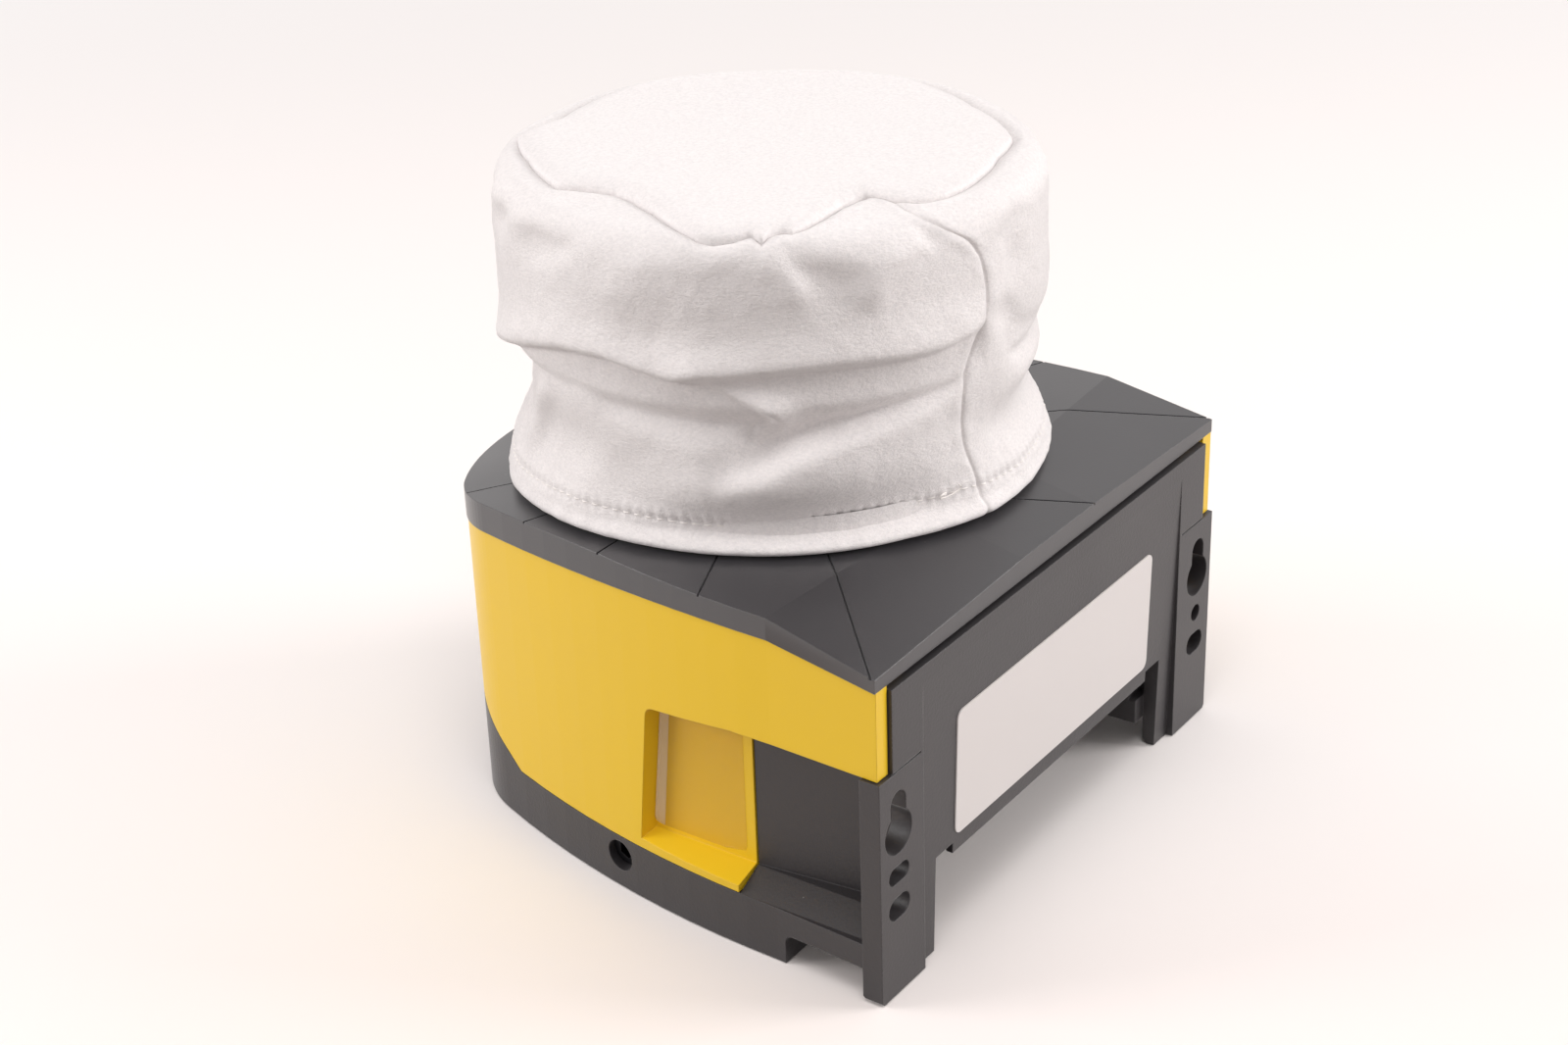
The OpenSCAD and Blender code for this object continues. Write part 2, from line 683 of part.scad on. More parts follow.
// One thin upright blade per sight groove
module groove_blades() at_head() {
    for (i = [2:6], s = [-1, 1]) rotate(90 + s * i * groove_pitch)
        slab(window_r + 7.6, big / 2, -groove_w / 2, groove_w / 2, 60, 90);
    translate([-15.2, plate_back - head_y, 0]) rotate(-48)
        slab(-6, 18, -groove_w / 2, groove_w / 2, 60, 90);
}

module top_plate() color("#4a4a4e") difference() {
    intersection() {
        translate([0, 0, 60]) linear_extrude(40) plan(0, plate_back);
        plate_skin();
    }
    below_plate(0);
    // Underside hollow inside the rim
    intersection() {
        linear_extrude(big) plan(7.5, inner_back - 4);
        translate([0, 0, -plate_t]) plate_skin();
    }
    at_head() translate([0, 0, 60]) cylinder(r = plate_hole_r, h = 40);
    difference() { groove_blades(); translate([0, 0, -groove_d]) plate_skin(); }
}

// ---- Head -----------------------------------------------------------------

window_top_r = window_r + window_flare;
cap_r = window_top_r + cap_over;
wseal_t = 0.6;
win_z0 = plate_top + wseal_t;
win_z1 = win_z0 + window_h;
flange_out = window_r + 3.3;

module window_seal() color("#202022") at_head() translate([0, 0, plate_top])
    difference() {
        cylinder(r = flange_out - 0.5, h = wseal_t);
        translate([0, 0, -1]) cylinder(r = window_r - window_t, h = 3);
    }

module optics_window() color("#26262b") at_head() rotate_extrude() polygon([
    [window_r - window_t, win_z0], [flange_out, win_z0], [flange_out, win_z0 + 2],
    [window_r, win_z0 + 2.4], [window_top_r, win_z1 - 2], [window_top_r, win_z1],
    [window_top_r - window_t, win_z1], [window_top_r - window_t, win_z1 - 1.6],
    [window_r - window_t, win_z0 + 2.4]]);

cap_seat = win_z1 + wseal_t;
cap_top = cap_seat + cap_h;
module cap_seal() color("#202022") at_head() translate([0, 0, win_z1]) difference() {
    cylinder(r = window_top_r - 0.2, h = wseal_t);
    translate([0, 0, -1]) cylinder(r = window_top_r - window_t + 0.2, h = 3);
}

cap_wall = 2.5;
bracket_z = cap_seat + 2.9;
bracket_t = 3;
bracket_r = window_top_r - window_t - 0.4;
screw_ring = bracket_r - 7;
screw_angles = [-90, 30, 150];
screw_len = 11;
screw_head = 2.4;
cap_round = 3;

module head_cap() color("#e5bb3f") at_head() difference() {
    union() {
        rotate_extrude() polygon(concat(
            [[0, cap_top], [0, cap_top - cap_wall], [cap_r - cap_wall - 1, cap_top - cap_wall],
            [cap_r - cap_wall, cap_top - cap_wall - 2], [cap_r - cap_wall, cap_seat + 2.4],
            [window_top_r - window_t, cap_seat + 2.4], [window_top_r - window_t, cap_seat],
            [window_top_r + clear, cap_seat], [window_top_r + clear, cap_seat - 2.8],
            [cap_r, cap_seat - 2.8]],
            arc([cap_r - cap_round, cap_top - cap_round], cap_round, 0, 90, 6)));
        for (a = screw_angles) rotate(a) translate([screw_ring, 0, bracket_z + bracket_t])
            cylinder(r = 3.4, h = cap_top - 1 - bracket_z - bracket_t, $fn = 32);
    }
    for (a = screw_angles) rotate(a) translate([screw_ring, 0, bracket_z])
        cylinder(r = 1.5, h = screw_len + 1, $fn = 32);
}

module cap_screws() color("#8f8f8c") at_head() for (a = screw_angles) rotate(a)
    translate([screw_ring, 0, 0]) {
        translate([0, 0, bracket_z]) cylinder(r = 1.5, h = screw_len, $fn = 32);
        translate([0, 0, bracket_z - screw_head])
            cylinder(r = 2.75, h = screw_head, $fn = 32);
    }

column_out = window_r - window_t - 0.8;
column_in = column_out - 5.5;
module support_column() color("#303034") at_head() intersection() {
    translate([0, 0, plate_top]) difference() {
        cylinder(r = column_out, h = bracket_z - plate_top);
        translate([0, 0, -1]) cylinder(r = column_in, h = big);
    }
    rotate(45) slab(0, big, 0, big, 0, big);
}

module motor_bracket() color("#b4b6b8") at_head() difference() {
    union() {
        translate([0, 0, bracket_z]) cylinder(r = bracket_r, h = bracket_t);
        translate([0, 0, bracket_z]) cylinder(r = bearing_r + 3, h = bearing_w);
    }
    translate([0, 0, bracket_z - 1]) cylinder(r = bearing_r, h = big);
    for (a = screw_angles) rotate(a) translate([screw_ring, 0, bracket_z - 1])
        cylinder(r = 1.7, h = 8, $fn = 32);
    for (a = [0:60:300]) rotate(a + 15) translate([screw_ring - 12, 0, bracket_z - 1])
        cylinder(r = 6, h = bracket_t + 2, $fn = 32);
}

// ---- Motor and rotor ------------------------------------------------------

bearing_r = 7.5;
bearing_w = 5;
stator_z = bracket_z + bearing_w + 0.6;
stator_h = cap_top - cap_wall - bracket_z - 2 * bearing_w - board_t - 2.6;
upper_z = stator_z + stator_h + 0.6;
magnet_r = 11.5;
stator_r = 22;

module ring(r_out, r_in, z, h) translate([0, 0, z]) difference() {
    cylinder(r = r_out, h = h);
    translate([0, 0, -1]) cylinder(r = r_in, h = h + 2);
}

module motor_stator() color("#8a5a2c") at_head() {
    ring(stator_r, magnet_r + 0.5, stator_z, stator_h);
    ring(stator_r, stator_r - 4, bracket_z + bracket_t,
        stator_z - bracket_z - bracket_t + 0.01);
    ring(stator_r, stator_r - 4, stator_z + stator_h - 0.01,
        upper_z - stator_z - stator_h + 0.01);
    ring(stator_r, bearing_r, upper_z, bearing_w);
}
module bearing_lower() color("#a9abad") at_head()
    ring(bearing_r, shaft_r + run, bracket_z, bearing_w);
module bearing_upper() color("#a9abad") at_head()
    ring(bearing_r, shaft_r + run, upper_z, bearing_w);
module motor_board() color("#1f6b3a") at_head()
    ring(stator_r + 10, shaft_r + 2, upper_z + bearing_w, board_t);

disc_z = bracket_z - 2;
carrier_top = disc_z;
mirror_t = 2;
scan_z = carrier_top - mirror_r - mirror_t * sqrt(2) - 0.6;  // height of the scan plane
module rotor_shaft() color("#b9bbbe") at_head() translate([0, 0, scan_z + 6])
    cylinder(r = shaft_r, h = upper_z + bearing_w + 1 - scan_z - 6, $fn = 64);
module rotor_magnet() color("#4b4b50") at_head()
    ring(magnet_r, shaft_r, stator_z, stator_h);

// Slanted half space above the mirror plane, raised by lift
module above_mirror(lift) translate([0, 0, scan_z + lift]) rotate([45, 0, 0])
    translate([-50, -50, 0]) cube([100, 100, 100]);

module mirror_carrier() color("#3a3a3e") at_head() difference() {
    intersection() {
        translate([0, 0, 60]) cylinder(r = mirror_r, h = carrier_top - 60);
        above_mirror(mirror_t * sqrt(2));
    }
    translate([0, 0, scan_z + 6]) cylinder(r = shaft_r, h = 40, $fn = 64);
}
module scan_mirror() color("#d9dde0") at_head() intersection() {
    translate([0, 0, 60]) cylinder(r = mirror_r, h = carrier_top - 60);
    difference() { above_mirror(0); above_mirror(mirror_t * sqrt(2)); }
}
disc_r = mirror_r + 7;
module encoder_disc() color("#c7c9cb") at_head() difference() {
    ring(disc_r, shaft_r, disc_z, 0.8);
    for (a = [0:15:345]) rotate(a)
        slab(disc_r - 4, disc_r - 1.6, -1.2, 1.2, disc_z - 1, disc_z + 2);
}
module encoder_sensor() color("#232326") at_head() difference() {
    slab(disc_r - 4, disc_r + 6, -5, 5, disc_z - 4, bracket_z);
    slab(disc_r - 5, disc_r + 2, -6, 6, disc_z - 1, disc_z + 1.6);
}

// ---- Dust hood ------------------------------------------------------------

hood_z0 = plate_top + 0.6;
hood_top = cap_top + clear + fleece_t;
hood_h = hood_top - hood_z0;
hood_rows = 24;     // rows of the side wall
row_h = (hood_h - 3) / hood_rows;
hood_cols = 80;
cover_r = cap_r + clear + fleece_t;
fleece_slack = 0.4; // looseness of the fleece round the cap
skirt_z = cap_seat - 2.8;  // lower edge of the cap

// Folds of the fleece: path of [angle, share of the height], half width, depth outwards
folds = [
    [[[-54, 0.38], [-14, 0.58], [9, 0.565], [34, 0.46]], 2.8, 1.0],
    [[[-50, 0.29], [-14, 0.46], [8, 0.46], [34, 0.42]], 4.4, -2.6],
    [[[14, 0.425], [32, 0.42]], 3.2, -1.2],
    [[[40, 0.6], [78, 0.585]], 2.8, 0.8],
    [[[46, 0.53], [78, 0.53], [125, 0.44], [150, 0.44], [190, 0.35]], 4, -2.4],
    [[[28, 0.31], [48, 0.42], [78, 0.5]], 4, -2.6],
    [[[18, 0.24], [44, 0.36], [70, 0.4], [125, 0.34], [175, 0.46]], 4.6, 2.6],
    [[[10, 0.15], [45, 0.16]], 3.6, -1.6],
    [[[-32, 0.2], [-24, 0.42]], 5, 0.9],
    [[[-46, 0.14], [-40, 0.3]], 4, -0.8],
    [[[165, 0.57], [235, 0.56]], 3, 0.9],
    [[[175, 0.47], [240, 0.4], [280, 0.36]], 4.4, -2.6],
    [[[205, 0.28], [250, 0.4], [292, 0.45]], 4.6, 2.2],
    [[[150, 0.15], [200, 0.16]], 3.6, -1.4],
    [[[250, 0.15], [290, 0.16]], 3.6, -1.4],
    [[[34, 0.97], [44, 0.8]], 3, -0.8],
    [[[57, 0.97], [62, 0.84]], 3, -0.8],
    [[[18, 0.95], [30, 0.74]], 5, 0.7]];

// Seam of the top: how far it is drawn inwards, at each angle
draw_in = [[-180, 3], [-150, 9], [-115, 4], [-66, 1], [-41, 7], [-13, 13], [6, 9], [21, 1],
    [40, 1], [59, 12], [80, 5], [124, 4], [155, 10], [180, 3]];

function turned(a) = (a + 540) % 360 - 180;

// Distance from the point (a, z) of the side wall to one stretch of a fold
function off_line(a, z, p, q) =
    let (k = PI / 180 * cover_r, d = [turned(a - p.x) * k, z - hood_z0 - p.y * hood_h],
        v = [(q.x - p.x) * k, (q.y - p.y) * hood_h],
        t = max(0, min(1, d * v / (v * v))))
    norm(d - t * v);
function off_fold(a, z, path) =
    min([for (k = [0:len(path) - 2]) off_line(a, z, path[k], path[k + 1])]);
function fold_sum(a, z, i = 0) = i == len(folds) ? 0
    : folds[i][2] * exp(-pow(off_fold(a, z, folds[i][0]) / folds[i][1], 2))
        + fold_sum(a, z, i + 1);

function window_at(z) = window_r
    + window_flare * max(0, min(1, (z - win_z0 - 2.4) / (window_h - 4.4)));
function bell(x, w) = exp(-x * x / (w * w));

// Radius of the fleece: hem, waist, folds, and never inside the head
function wall_r(a, z) =
    let (hem = hem_slack * bell(z - hood_z0 - 2.5, 6),
        waist = (cover_r - window_at(plate_top + waist_up) - fleece_t - waist_slack)
            * bell(z - plate_top - waist_up, 9.5),
        least = z > skirt_z - 0.6 - row_h ? cover_r : window_at(z) + clear + fleece_t)
    max(least, cover_r + fleece_slack + hem - waist + fold_sum(a, z));

// Rows over the rim: distance inwards, share of the drawn seam, height over the top
rim = [[0.9, 0, -1], [2.4, 0.35, 0.3], [3.2, 1, 0], [6.5, 1, 0.5], [30, 0.5, 0.6]];

function hood_point(i, j, inner) =
    let (a = 360 * j / hood_cols, up = i - hood_rows - 1,
        z = hood_z0 + row_h * i,
        r = i <= hood_rows ? wall_r(a, z) - inner * fleece_t
            : cover_r - rim[up][0] - rim[up][1] * lookup(turned(a), draw_in)
                - inner * (up == 0 ? fleece_t : 0))
    [r * cos(a), head_y + r * sin(a),
        i <= hood_rows ? z : hood_top + rim[up][2] - inner * fleece_t];

function at(i, j) = i * hood_cols + j % hood_cols;

module dust_hood() color("#e8e3e2") {
    rows = hood_rows + len(rim);
    outer = [for (i = [0:rows], j = [0:hood_cols - 1]) hood_point(i, j, 0)];
    inner = [for (i = [0:rows], j = [0:hood_cols - 1]) hood_point(i, j, 1)];
    n = (rows + 1) * hood_cols;
    top = hood_top + rim[len(rim) - 1][2];
    polyhedron(concat(outer, inner, [[0, head_y, top], [0, head_y, top - fleece_t]]),
        concat(
            [for (i = [0:rows - 1], j = [0:hood_cols - 1])
                [at(i, j), at(i + 1, j), at(i + 1, j + 1), at(i, j + 1)]],
            [for (i = [0:rows - 1], j = [0:hood_cols - 1])
                [n + at(i, j), n + at(i, j + 1), n + at(i + 1, j + 1), n + at(i + 1, j)]],
            [for (j = [0:hood_cols - 1]) [at(0, j), at(0, j + 1), n + at(0, j + 1), n + at(0, j)]],
            [for (j = [0:hood_cols - 1]) [at(rows, j), 2 * n, at(rows, j + 1)]],
            [for (j = [0:hood_cols - 1])
                [n + at(rows, j), n + at(rows, j + 1), 2 * n + 1]]));
}

connection_housing();
rear_label();
connection_board();
supply_connector();
supply_insert();
network_connector();
network_insert();
unit_plug();
unit_socket();
contact_seal();
lock_left();
lock_right();
latch_hooks();
scanner_housing();
housing_seal();
top_plate();
main_board();
io_board();
board_posts();
display_window();
display_module();
light_pipes();
optics_tube();
receiver_lens();
laser_module();
receiver_board();
optics_window();
window_seal();
cap_seal();
support_column();
motor_bracket();
motor_stator();
motor_board();
encoder_sensor();
bearing_lower();
bearing_upper();
rotor_shaft();
rotor_magnet();
mirror_carrier();
scan_mirror();
encoder_disc();
head_cap();
cap_screws();
dust_hood();
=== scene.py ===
"""Looks of a safety laser scanner: two moulded units, a grooved top plate, the optical head and its hood."""

import logging
import math
from dataclasses import dataclass, field
from enum import Enum

import bpy
import numpy as np
from mathutils import Matrix, Vector, noise
from mathutils.bvhtree import BVHTree


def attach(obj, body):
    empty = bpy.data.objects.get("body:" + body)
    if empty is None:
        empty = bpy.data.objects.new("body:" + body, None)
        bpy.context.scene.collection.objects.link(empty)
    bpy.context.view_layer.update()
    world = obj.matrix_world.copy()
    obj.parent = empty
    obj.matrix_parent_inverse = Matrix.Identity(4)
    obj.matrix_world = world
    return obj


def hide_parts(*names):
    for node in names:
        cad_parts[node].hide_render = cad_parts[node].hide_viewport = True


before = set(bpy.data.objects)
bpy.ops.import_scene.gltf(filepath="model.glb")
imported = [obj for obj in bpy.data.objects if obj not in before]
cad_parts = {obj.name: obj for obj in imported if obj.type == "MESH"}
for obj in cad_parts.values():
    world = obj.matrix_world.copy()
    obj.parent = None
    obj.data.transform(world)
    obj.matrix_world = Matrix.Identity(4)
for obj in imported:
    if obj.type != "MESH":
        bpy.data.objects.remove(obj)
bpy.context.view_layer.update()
MM = 0.001
DEVICE_BODY = "device"
# A wave texture repeats this often in one unit of its scale
WAVES_PER_UNIT = 20
UP = np.array([0.0, 0.0, 1.0])
log = logging.getLogger("scanner")


class Slot(Enum):
    """Names of the material slots for the fleece and the label film."""

    FLEECE = "fleece"
    LABEL_FILM = "label_film"


def linear(code: str) -> tuple[float, float, float, float]:
    """Turns an sRGB hex colour into linear values.

    Args:
        code: colour such as "#E5BB3F".

    Returns:
        Linear red, green, blue and an alpha of 1.
    """
    parts = [int(code[i : i + 2], 16) / 255 for i in (1, 3, 5)]
    return (*[p / 12.92 if p <= 0.04045 else ((p + 0.055) / 1.055) ** 2.4 for p in parts], 1.0)


def toned(code: str, share: float) -> tuple[float, float, float, float]:
    """Returns the linear values of an sRGB hex colour, made darker or lighter by a share."""
    return (*[min(1.0, c * share) for c in linear(code)[:3]], 1.0)


def per_metre(size_mm: float) -> float:
    """Returns the texture scale that makes one feature size_mm wide."""
    return 1000.0 / size_mm


def add(
    tree: bpy.types.NodeTree, kind: str, inputs: dict | None = None, **settings: object
) -> bpy.types.Node:
    """Adds a node with its settings, values and links.

    Args:
        tree: node tree of the material or world.
        kind: type of the node.
        inputs: for each input, by name or number, a value or the output linked to it.
        settings: attributes of the node.

    Returns:
        The new node.
    """
    node = tree.nodes.new(kind)
    for name, value in settings.items():
        setattr(node, name, value)
    for key, value in (inputs or {}).items():
        if isinstance(value, bpy.types.NodeSocket):
            tree.links.new(value, node.inputs[key])
        else:
            node.inputs[key].default_value = value
    return node


def blank(name: str, **values: object) -> tuple[bpy.types.Material, bpy.types.NodeTree, bpy.types.Node]:
    """Makes a material with one Principled surface.

    Args:
        name: name of the material.
        values: values of the surface's inputs, with _ for a space.

    Returns:
        The material, its tree and the surface node.
    """
    material = bpy.data.materials.new(name)
    material.use_nodes = True
    tree = material.node_tree
    tree.nodes.clear()
    surface = add(tree, "ShaderNodeBsdfPrincipled", {k.replace("_", " "): v for k, v in values.items()})
    add(tree, "ShaderNodeOutputMaterial", {"Surface": surface.outputs[0]})
    return material, tree, surface


def wire(tree: bpy.types.NodeTree, surface: bpy.types.Node, **outputs: bpy.types.NodeSocket) -> None:
    """Links outputs to a surface's inputs, which are named with _ for a space."""
    for name, output in outputs.items():
        tree.links.new(output, surface.inputs[name.replace("_", " ")])


def seen_rays(tree: bpy.types.NodeTree, *kinds: str) -> bpy.types.NodeSocket:
    """Tells the rays that show a background from those that light the device.

    Args:
        tree: node tree.
        kinds: outputs of Light Path for the rays that show it.

    Returns:
        1 for those rays, 0 for all others.
    """
    path = add(tree, "ShaderNodeLightPath")
    seen = path.outputs[kinds[0]]
    for kind in kinds[1:]:
        seen = add(tree, "ShaderNodeMath", {0: seen, 1: path.outputs[kind]}, operation="MAXIMUM").outputs[0]
    return seen


def blend_colours(
    tree: bpy.types.NodeTree, factor: object, first: object, second: object
) -> bpy.types.NodeSocket:
    """Blends two colours.

    Args:
        tree: node tree.
        factor: share of the second colour, a number or an output.
        first: colour or output.
        second: colour or output.

    Returns:
        The blended colour.
    """
    return add(tree, "ShaderNodeMix", {0: factor, 6: first, 7: second}, data_type="RGBA").outputs[2]


@dataclass(frozen=True)
class MouldedPlastic:
    """Injection-moulded technical plastic, with the grain of its mould and softly rounded edges."""

    name: str
    colour: str
    roughness: float
    grain_mm: float
    grain_depth_mm: float
    edge_mm: float = 0.3
    dust: float = 0.0
    ior: float = 1.5
    pale: float = 0.05
    gloss: float = 0.5
    sheen: float = 0.0
    flow_mm: float = 38.0
    dust_apart_mm: float = 6.5
    speck_size: float = 0.03
    speck_cover: float = 0.55
    dust_colour: str = "#D9D5D2"

    def build(self) -> bpy.types.Material:
        """Builds the material.

        Returns:
            The material.
        """
        material, tree, surface = blank(
            self.name,
            Roughness=self.roughness,
            IOR=self.ior,
            Specular_IOR_Level=self.gloss,
            Sheen_Weight=self.sheen,
            Sheen_Roughness=0.3,
        )
        place = add(tree, "ShaderNodeTexCoord").outputs["Object"]
        grain = add(
            tree,
            "ShaderNodeTexNoise",
            {"Vector": place, "Scale": per_metre(self.grain_mm), "Detail": 3.0, "Roughness": 0.6},
        )
        flow = add(
            tree,
            "ShaderNodeTexNoise",
            {"Vector": place, "Scale": per_metre(self.flow_mm), "Detail": 2.0},
        )
        dark, light = toned(self.colour, 1 - self.pale), toned(self.colour, 1 + self.pale)
        tone = blend_colours(tree, flow.outputs[0], dark, light)
        rough = add(
            tree,
            "ShaderNodeMapRange",
            {
                "Value": flow.outputs[0],
                "From Min": 0.3,
                "From Max": 0.7,
                "To Min": self.roughness - 0.03,
                "To Max": self.roughness + 0.04,
            },
        )
        if self.dust:
            tone = blend_colours(tree, self.specks(tree, place), tone, linear(self.dust_colour))
        edge = add(tree, "ShaderNodeBevel", {"Radius": self.edge_mm * MM}, samples=4)
        relief = add(
            tree,
            "ShaderNodeBump",
            {"Distance": self.grain_depth_mm * MM, "Height": grain.outputs[0], "Normal": edge.outputs[0]},
        )
        wire(tree, surface, Base_Color=tone, Roughness=rough.outputs[0], Normal=relief.outputs[0])
        return material

    def specks(self, tree: bpy.types.NodeTree, place: bpy.types.NodeSocket) -> bpy.types.NodeSocket:
        """Scatters settled dust and lint: pale specks of 0.1 to 0.4 mm on faces that look up.

        Args:
            tree: node tree of the material.
            place: place on the piece.

        Returns:
            Share of the dust's colour.
        """
        cells = add(tree, "ShaderNodeTexVoronoi", {"Vector": place, "Scale": per_metre(self.dust_apart_mm)})
        kind = add(tree, "ShaderNodeSeparateColor", {0: cells.outputs["Color"]})
        size = add(
            tree,
            "ShaderNodeMapRange",
            {"Value": kind.outputs[0], "From Min": 1 - self.dust, "To Max": self.speck_size},
        )
        speck = add(
            tree,
            "ShaderNodeMath",
            {0: cells.outputs["Distance"], 1: size.outputs[0]},
            operation="LESS_THAN",
        )
        facing = add(tree, "ShaderNodeSeparateXYZ", {0: add(tree, "ShaderNodeNewGeometry").outputs["Normal"]})
        up = add(tree, "ShaderNodeMath", {0: facing.outputs[2], 1: 0.6}, operation="GREATER_THAN")
        mask = add(tree, "ShaderNodeMath", {0: speck.outputs[0], 1: up.outputs[0]}, operation="MULTIPLY")
        cover = add(tree, "ShaderNodeMath", {0: mask.outputs[0], 1: self.speck_cover}, operation="MULTIPLY")
        return cover.outputs[0]


@dataclass(frozen=True)
class PolyesterFleece:
    """Brushed polyester fleece: soft matt nap with short fibres that catch the light at its edges."""

    name: str = "brushed_polyester_fleece"
    colour: str = "#EEE9E8"
    shade: str = "#DEDADA"
    nap_mm: float = 0.9  # the real nap is finer, about 0.3 mm; drawn as coarse as it shows
    tuft_mm: float = 3.2
    depth_mm: float = 0.22

    def build(self) -> bpy.types.Material:
        """Builds the material.

        Returns:
            The material.
        """
        material, tree, surface = blank(
            self.name,
            Roughness=0.95,
            IOR=1.45,
            Specular_IOR_Level=0.15,
            Sheen_Weight=0.35,
            Sheen_Roughness=0.45,
        )
        place = add(tree, "ShaderNodeTexCoord").outputs["Object"]
        squeezed = add(tree, "ShaderNodeMapping", {"Vector": place, "Scale": (1.0, 1.0, 1.7)})
        fibres = {"Vector": squeezed.outputs[0], "Scale": per_metre(self.nap_mm), "Detail": 4.0}
        nap = add(tree, "ShaderNodeTexNoise", fibres | {"Roughness": 0.75})
        tufts = {"Vector": place, "Scale": per_metre(self.tuft_mm), "Detail": 3.0}
        tuft = add(tree, "ShaderNodeTexNoise", tufts | {"Roughness": 0.6})
        spread = add(tree, "ShaderNodeMapRange", {"Value": nap.outputs[0], "From Min": 0.3, "From Max": 0.65})
        tone = blend_colours(tree, spread.outputs[0], linear(self.shade), linear(self.colour))
        both = add(tree, "ShaderNodeMath", {0: nap.outputs[0], 1: tuft.outputs[0]}, operation="ADD")
        relief = add(tree, "ShaderNodeBump", {"Distance": self.depth_mm * MM, "Height": both.outputs[0]})
        wire(tree, surface, Base_Color=tone, Normal=relief.outputs[0])
        return material


@dataclass(frozen=True)
class LabelFilm:
    """Satin polyester film, cut to a plate and left bare."""

    name: str = "satin_polyester_film"
    colour: str = "#D6D0CE"

    def build(self) -> bpy.types.Material:
        """Builds the material.

        Returns:
            The material.
        """
        material, tree, surface = blank(self.name, IOR=1.55, Specular_IOR_Level=0.8)
        place = add(tree, "ShaderNodeTexCoord").outputs["Object"]
        haze = add(tree, "ShaderNodeTexNoise", {"Vector": place, "Scale": per_metre(14), "Detail": 2.0})
        tone = blend_colours(tree, haze.outputs[0], toned(self.colour, 0.97), linear(self.colour))
        rough = add(tree, "ShaderNodeMapRange", {"Value": haze.outputs[0], "To Min": 0.36, "To Max": 0.46})
        ripple = add(tree, "ShaderNodeTexNoise", {"Vector": place, "Scale": per_metre(2.2), "Detail": 2.0})
        relief = add(tree, "ShaderNodeBump", {"Distance": 0.008 * MM, "Height": ripple.outputs[0]})
        wire(tree, surface, Base_Color=tone, Roughness=rough.outputs[0], Normal=relief.outputs[0])
        return material


@dataclass(frozen=True)
class ClearFilm:
    """Clear self-adhesive film, calendered: a thin gloss with a breath of amber, milky where it is loose."""

    name: str = "clear_adhesive_film"
    colour: str = "#DDB04E"
    haze: float = 0.13
    roughness: float = 0.14

    def build(self) -> bpy.types.Material:
        """Builds the material.

        Returns:
            The material.
        """
        material, tree, surface = blank(self.name, Roughness=self.roughness, IOR=1.49, Alpha=self.haze)
        place = add(tree, "ShaderNodeTexCoord").outputs["Object"]
        smear = add(tree, "ShaderNodeTexNoise", {"Vector": place, "Scale": per_metre(9), "Detail": 3.0})
        tone = blend_colours(tree, smear.outputs[0], toned(self.colour, 0.94), linear(self.colour))
        wire(tree, surface, Base_Color=tone)
        return material


@dataclass(frozen=True)
class PlainMetal:
    """Machined, turned or cast metal with the marks of its making."""

    name: str
    colour: str
    roughness: float
    mark_mm: float
    mark_depth_mm: float
    stretch: tuple[float, float, float] = (1.0, 1.0, 12.0)
    thread_mm: float = 0.0
    edge_mm: float = 0.15

    def build(self) -> bpy.types.Material:
        """Builds the material.

        Returns:
            The material.
        """
        material, tree, surface = blank(self.name, Metallic=1.0, Roughness=self.roughness)
        place = add(tree, "ShaderNodeTexCoord").outputs["Object"]
        along = add(tree, "ShaderNodeMapping", {"Vector": place, "Scale": self.stretch})
        worn = {"Vector": along.outputs[0], "Scale": per_metre(self.mark_mm), "Detail": 3.0}
        marks = add(tree, "ShaderNodeTexNoise", worn)
        tone = blend_colours(tree, marks.outputs[0], toned(self.colour, 0.88), linear(self.colour))
        rough = add(
            tree,
            "ShaderNodeMapRange",
            {"Value": marks.outputs[0], "To Min": self.roughness - 0.06, "To Max": self.roughness + 0.08},
        )
        height, depth = marks.outputs[0], self.mark_depth_mm
        if self.thread_mm:
            # Rolled thread: one groove to each pitch along the axis
            turns = {"Vector": place, "Scale": per_metre(self.thread_mm) / WAVES_PER_UNIT}
            height = add(tree, "ShaderNodeTexWave", turns, bands_direction="Z").outputs["Fac"]
            depth = self.thread_mm * 0.3
        edge = add(tree, "ShaderNodeBevel", {"Radius": self.edge_mm * MM}, samples=4)
        grooves = {"Distance": depth * MM, "Height": height, "Normal": edge.outputs[0]}
        relief = add(tree, "ShaderNodeBump", grooves)
        wire(tree, surface, Base_Color=tone, Roughness=rough.outputs[0], Normal=relief.outputs[0])
        return material


@dataclass(frozen=True)
class SolderMask:
    """Glass-epoxy board under green solder mask: gloss, with tracks that show as paler lines."""

    name: str = "solder_masked_board"
    colour: str = "#1F6B3A"
    track: str = "#3C8A50"
    track_mm: float = 1.6

    def build(self) -> bpy.types.Material:
        """Builds the material.

        Returns:
            The material.
        """
        material, tree, surface = blank(self.name, Roughness=0.28, IOR=1.55)
        place = add(tree, "ShaderNodeTexCoord").outputs["Object"]
        green, track = linear(self.colour), linear(self.track)
        tracks = add(
            tree,
            "ShaderNodeTexBrick",
            {
                "Vector": place,
                "Scale": per_metre(self.track_mm * 4),
                "Mortar Size": 0.02,
                "Color1": green,
                "Color2": green,
                "Mortar": track,
            },
        )
        patch = add(tree, "ShaderNodeTexNoise", {"Vector": place, "Scale": per_metre(12)})
        tone = blend_colours(tree, patch.outputs[0], tracks.outputs[0], green)
        relief = add(tree, "ShaderNodeBump", {"Distance": 0.03 * MM, "Height": tracks.outputs[1]})
        wire(tree, surface, Base_Color=tone, Normal=relief.outputs[0])
        return material


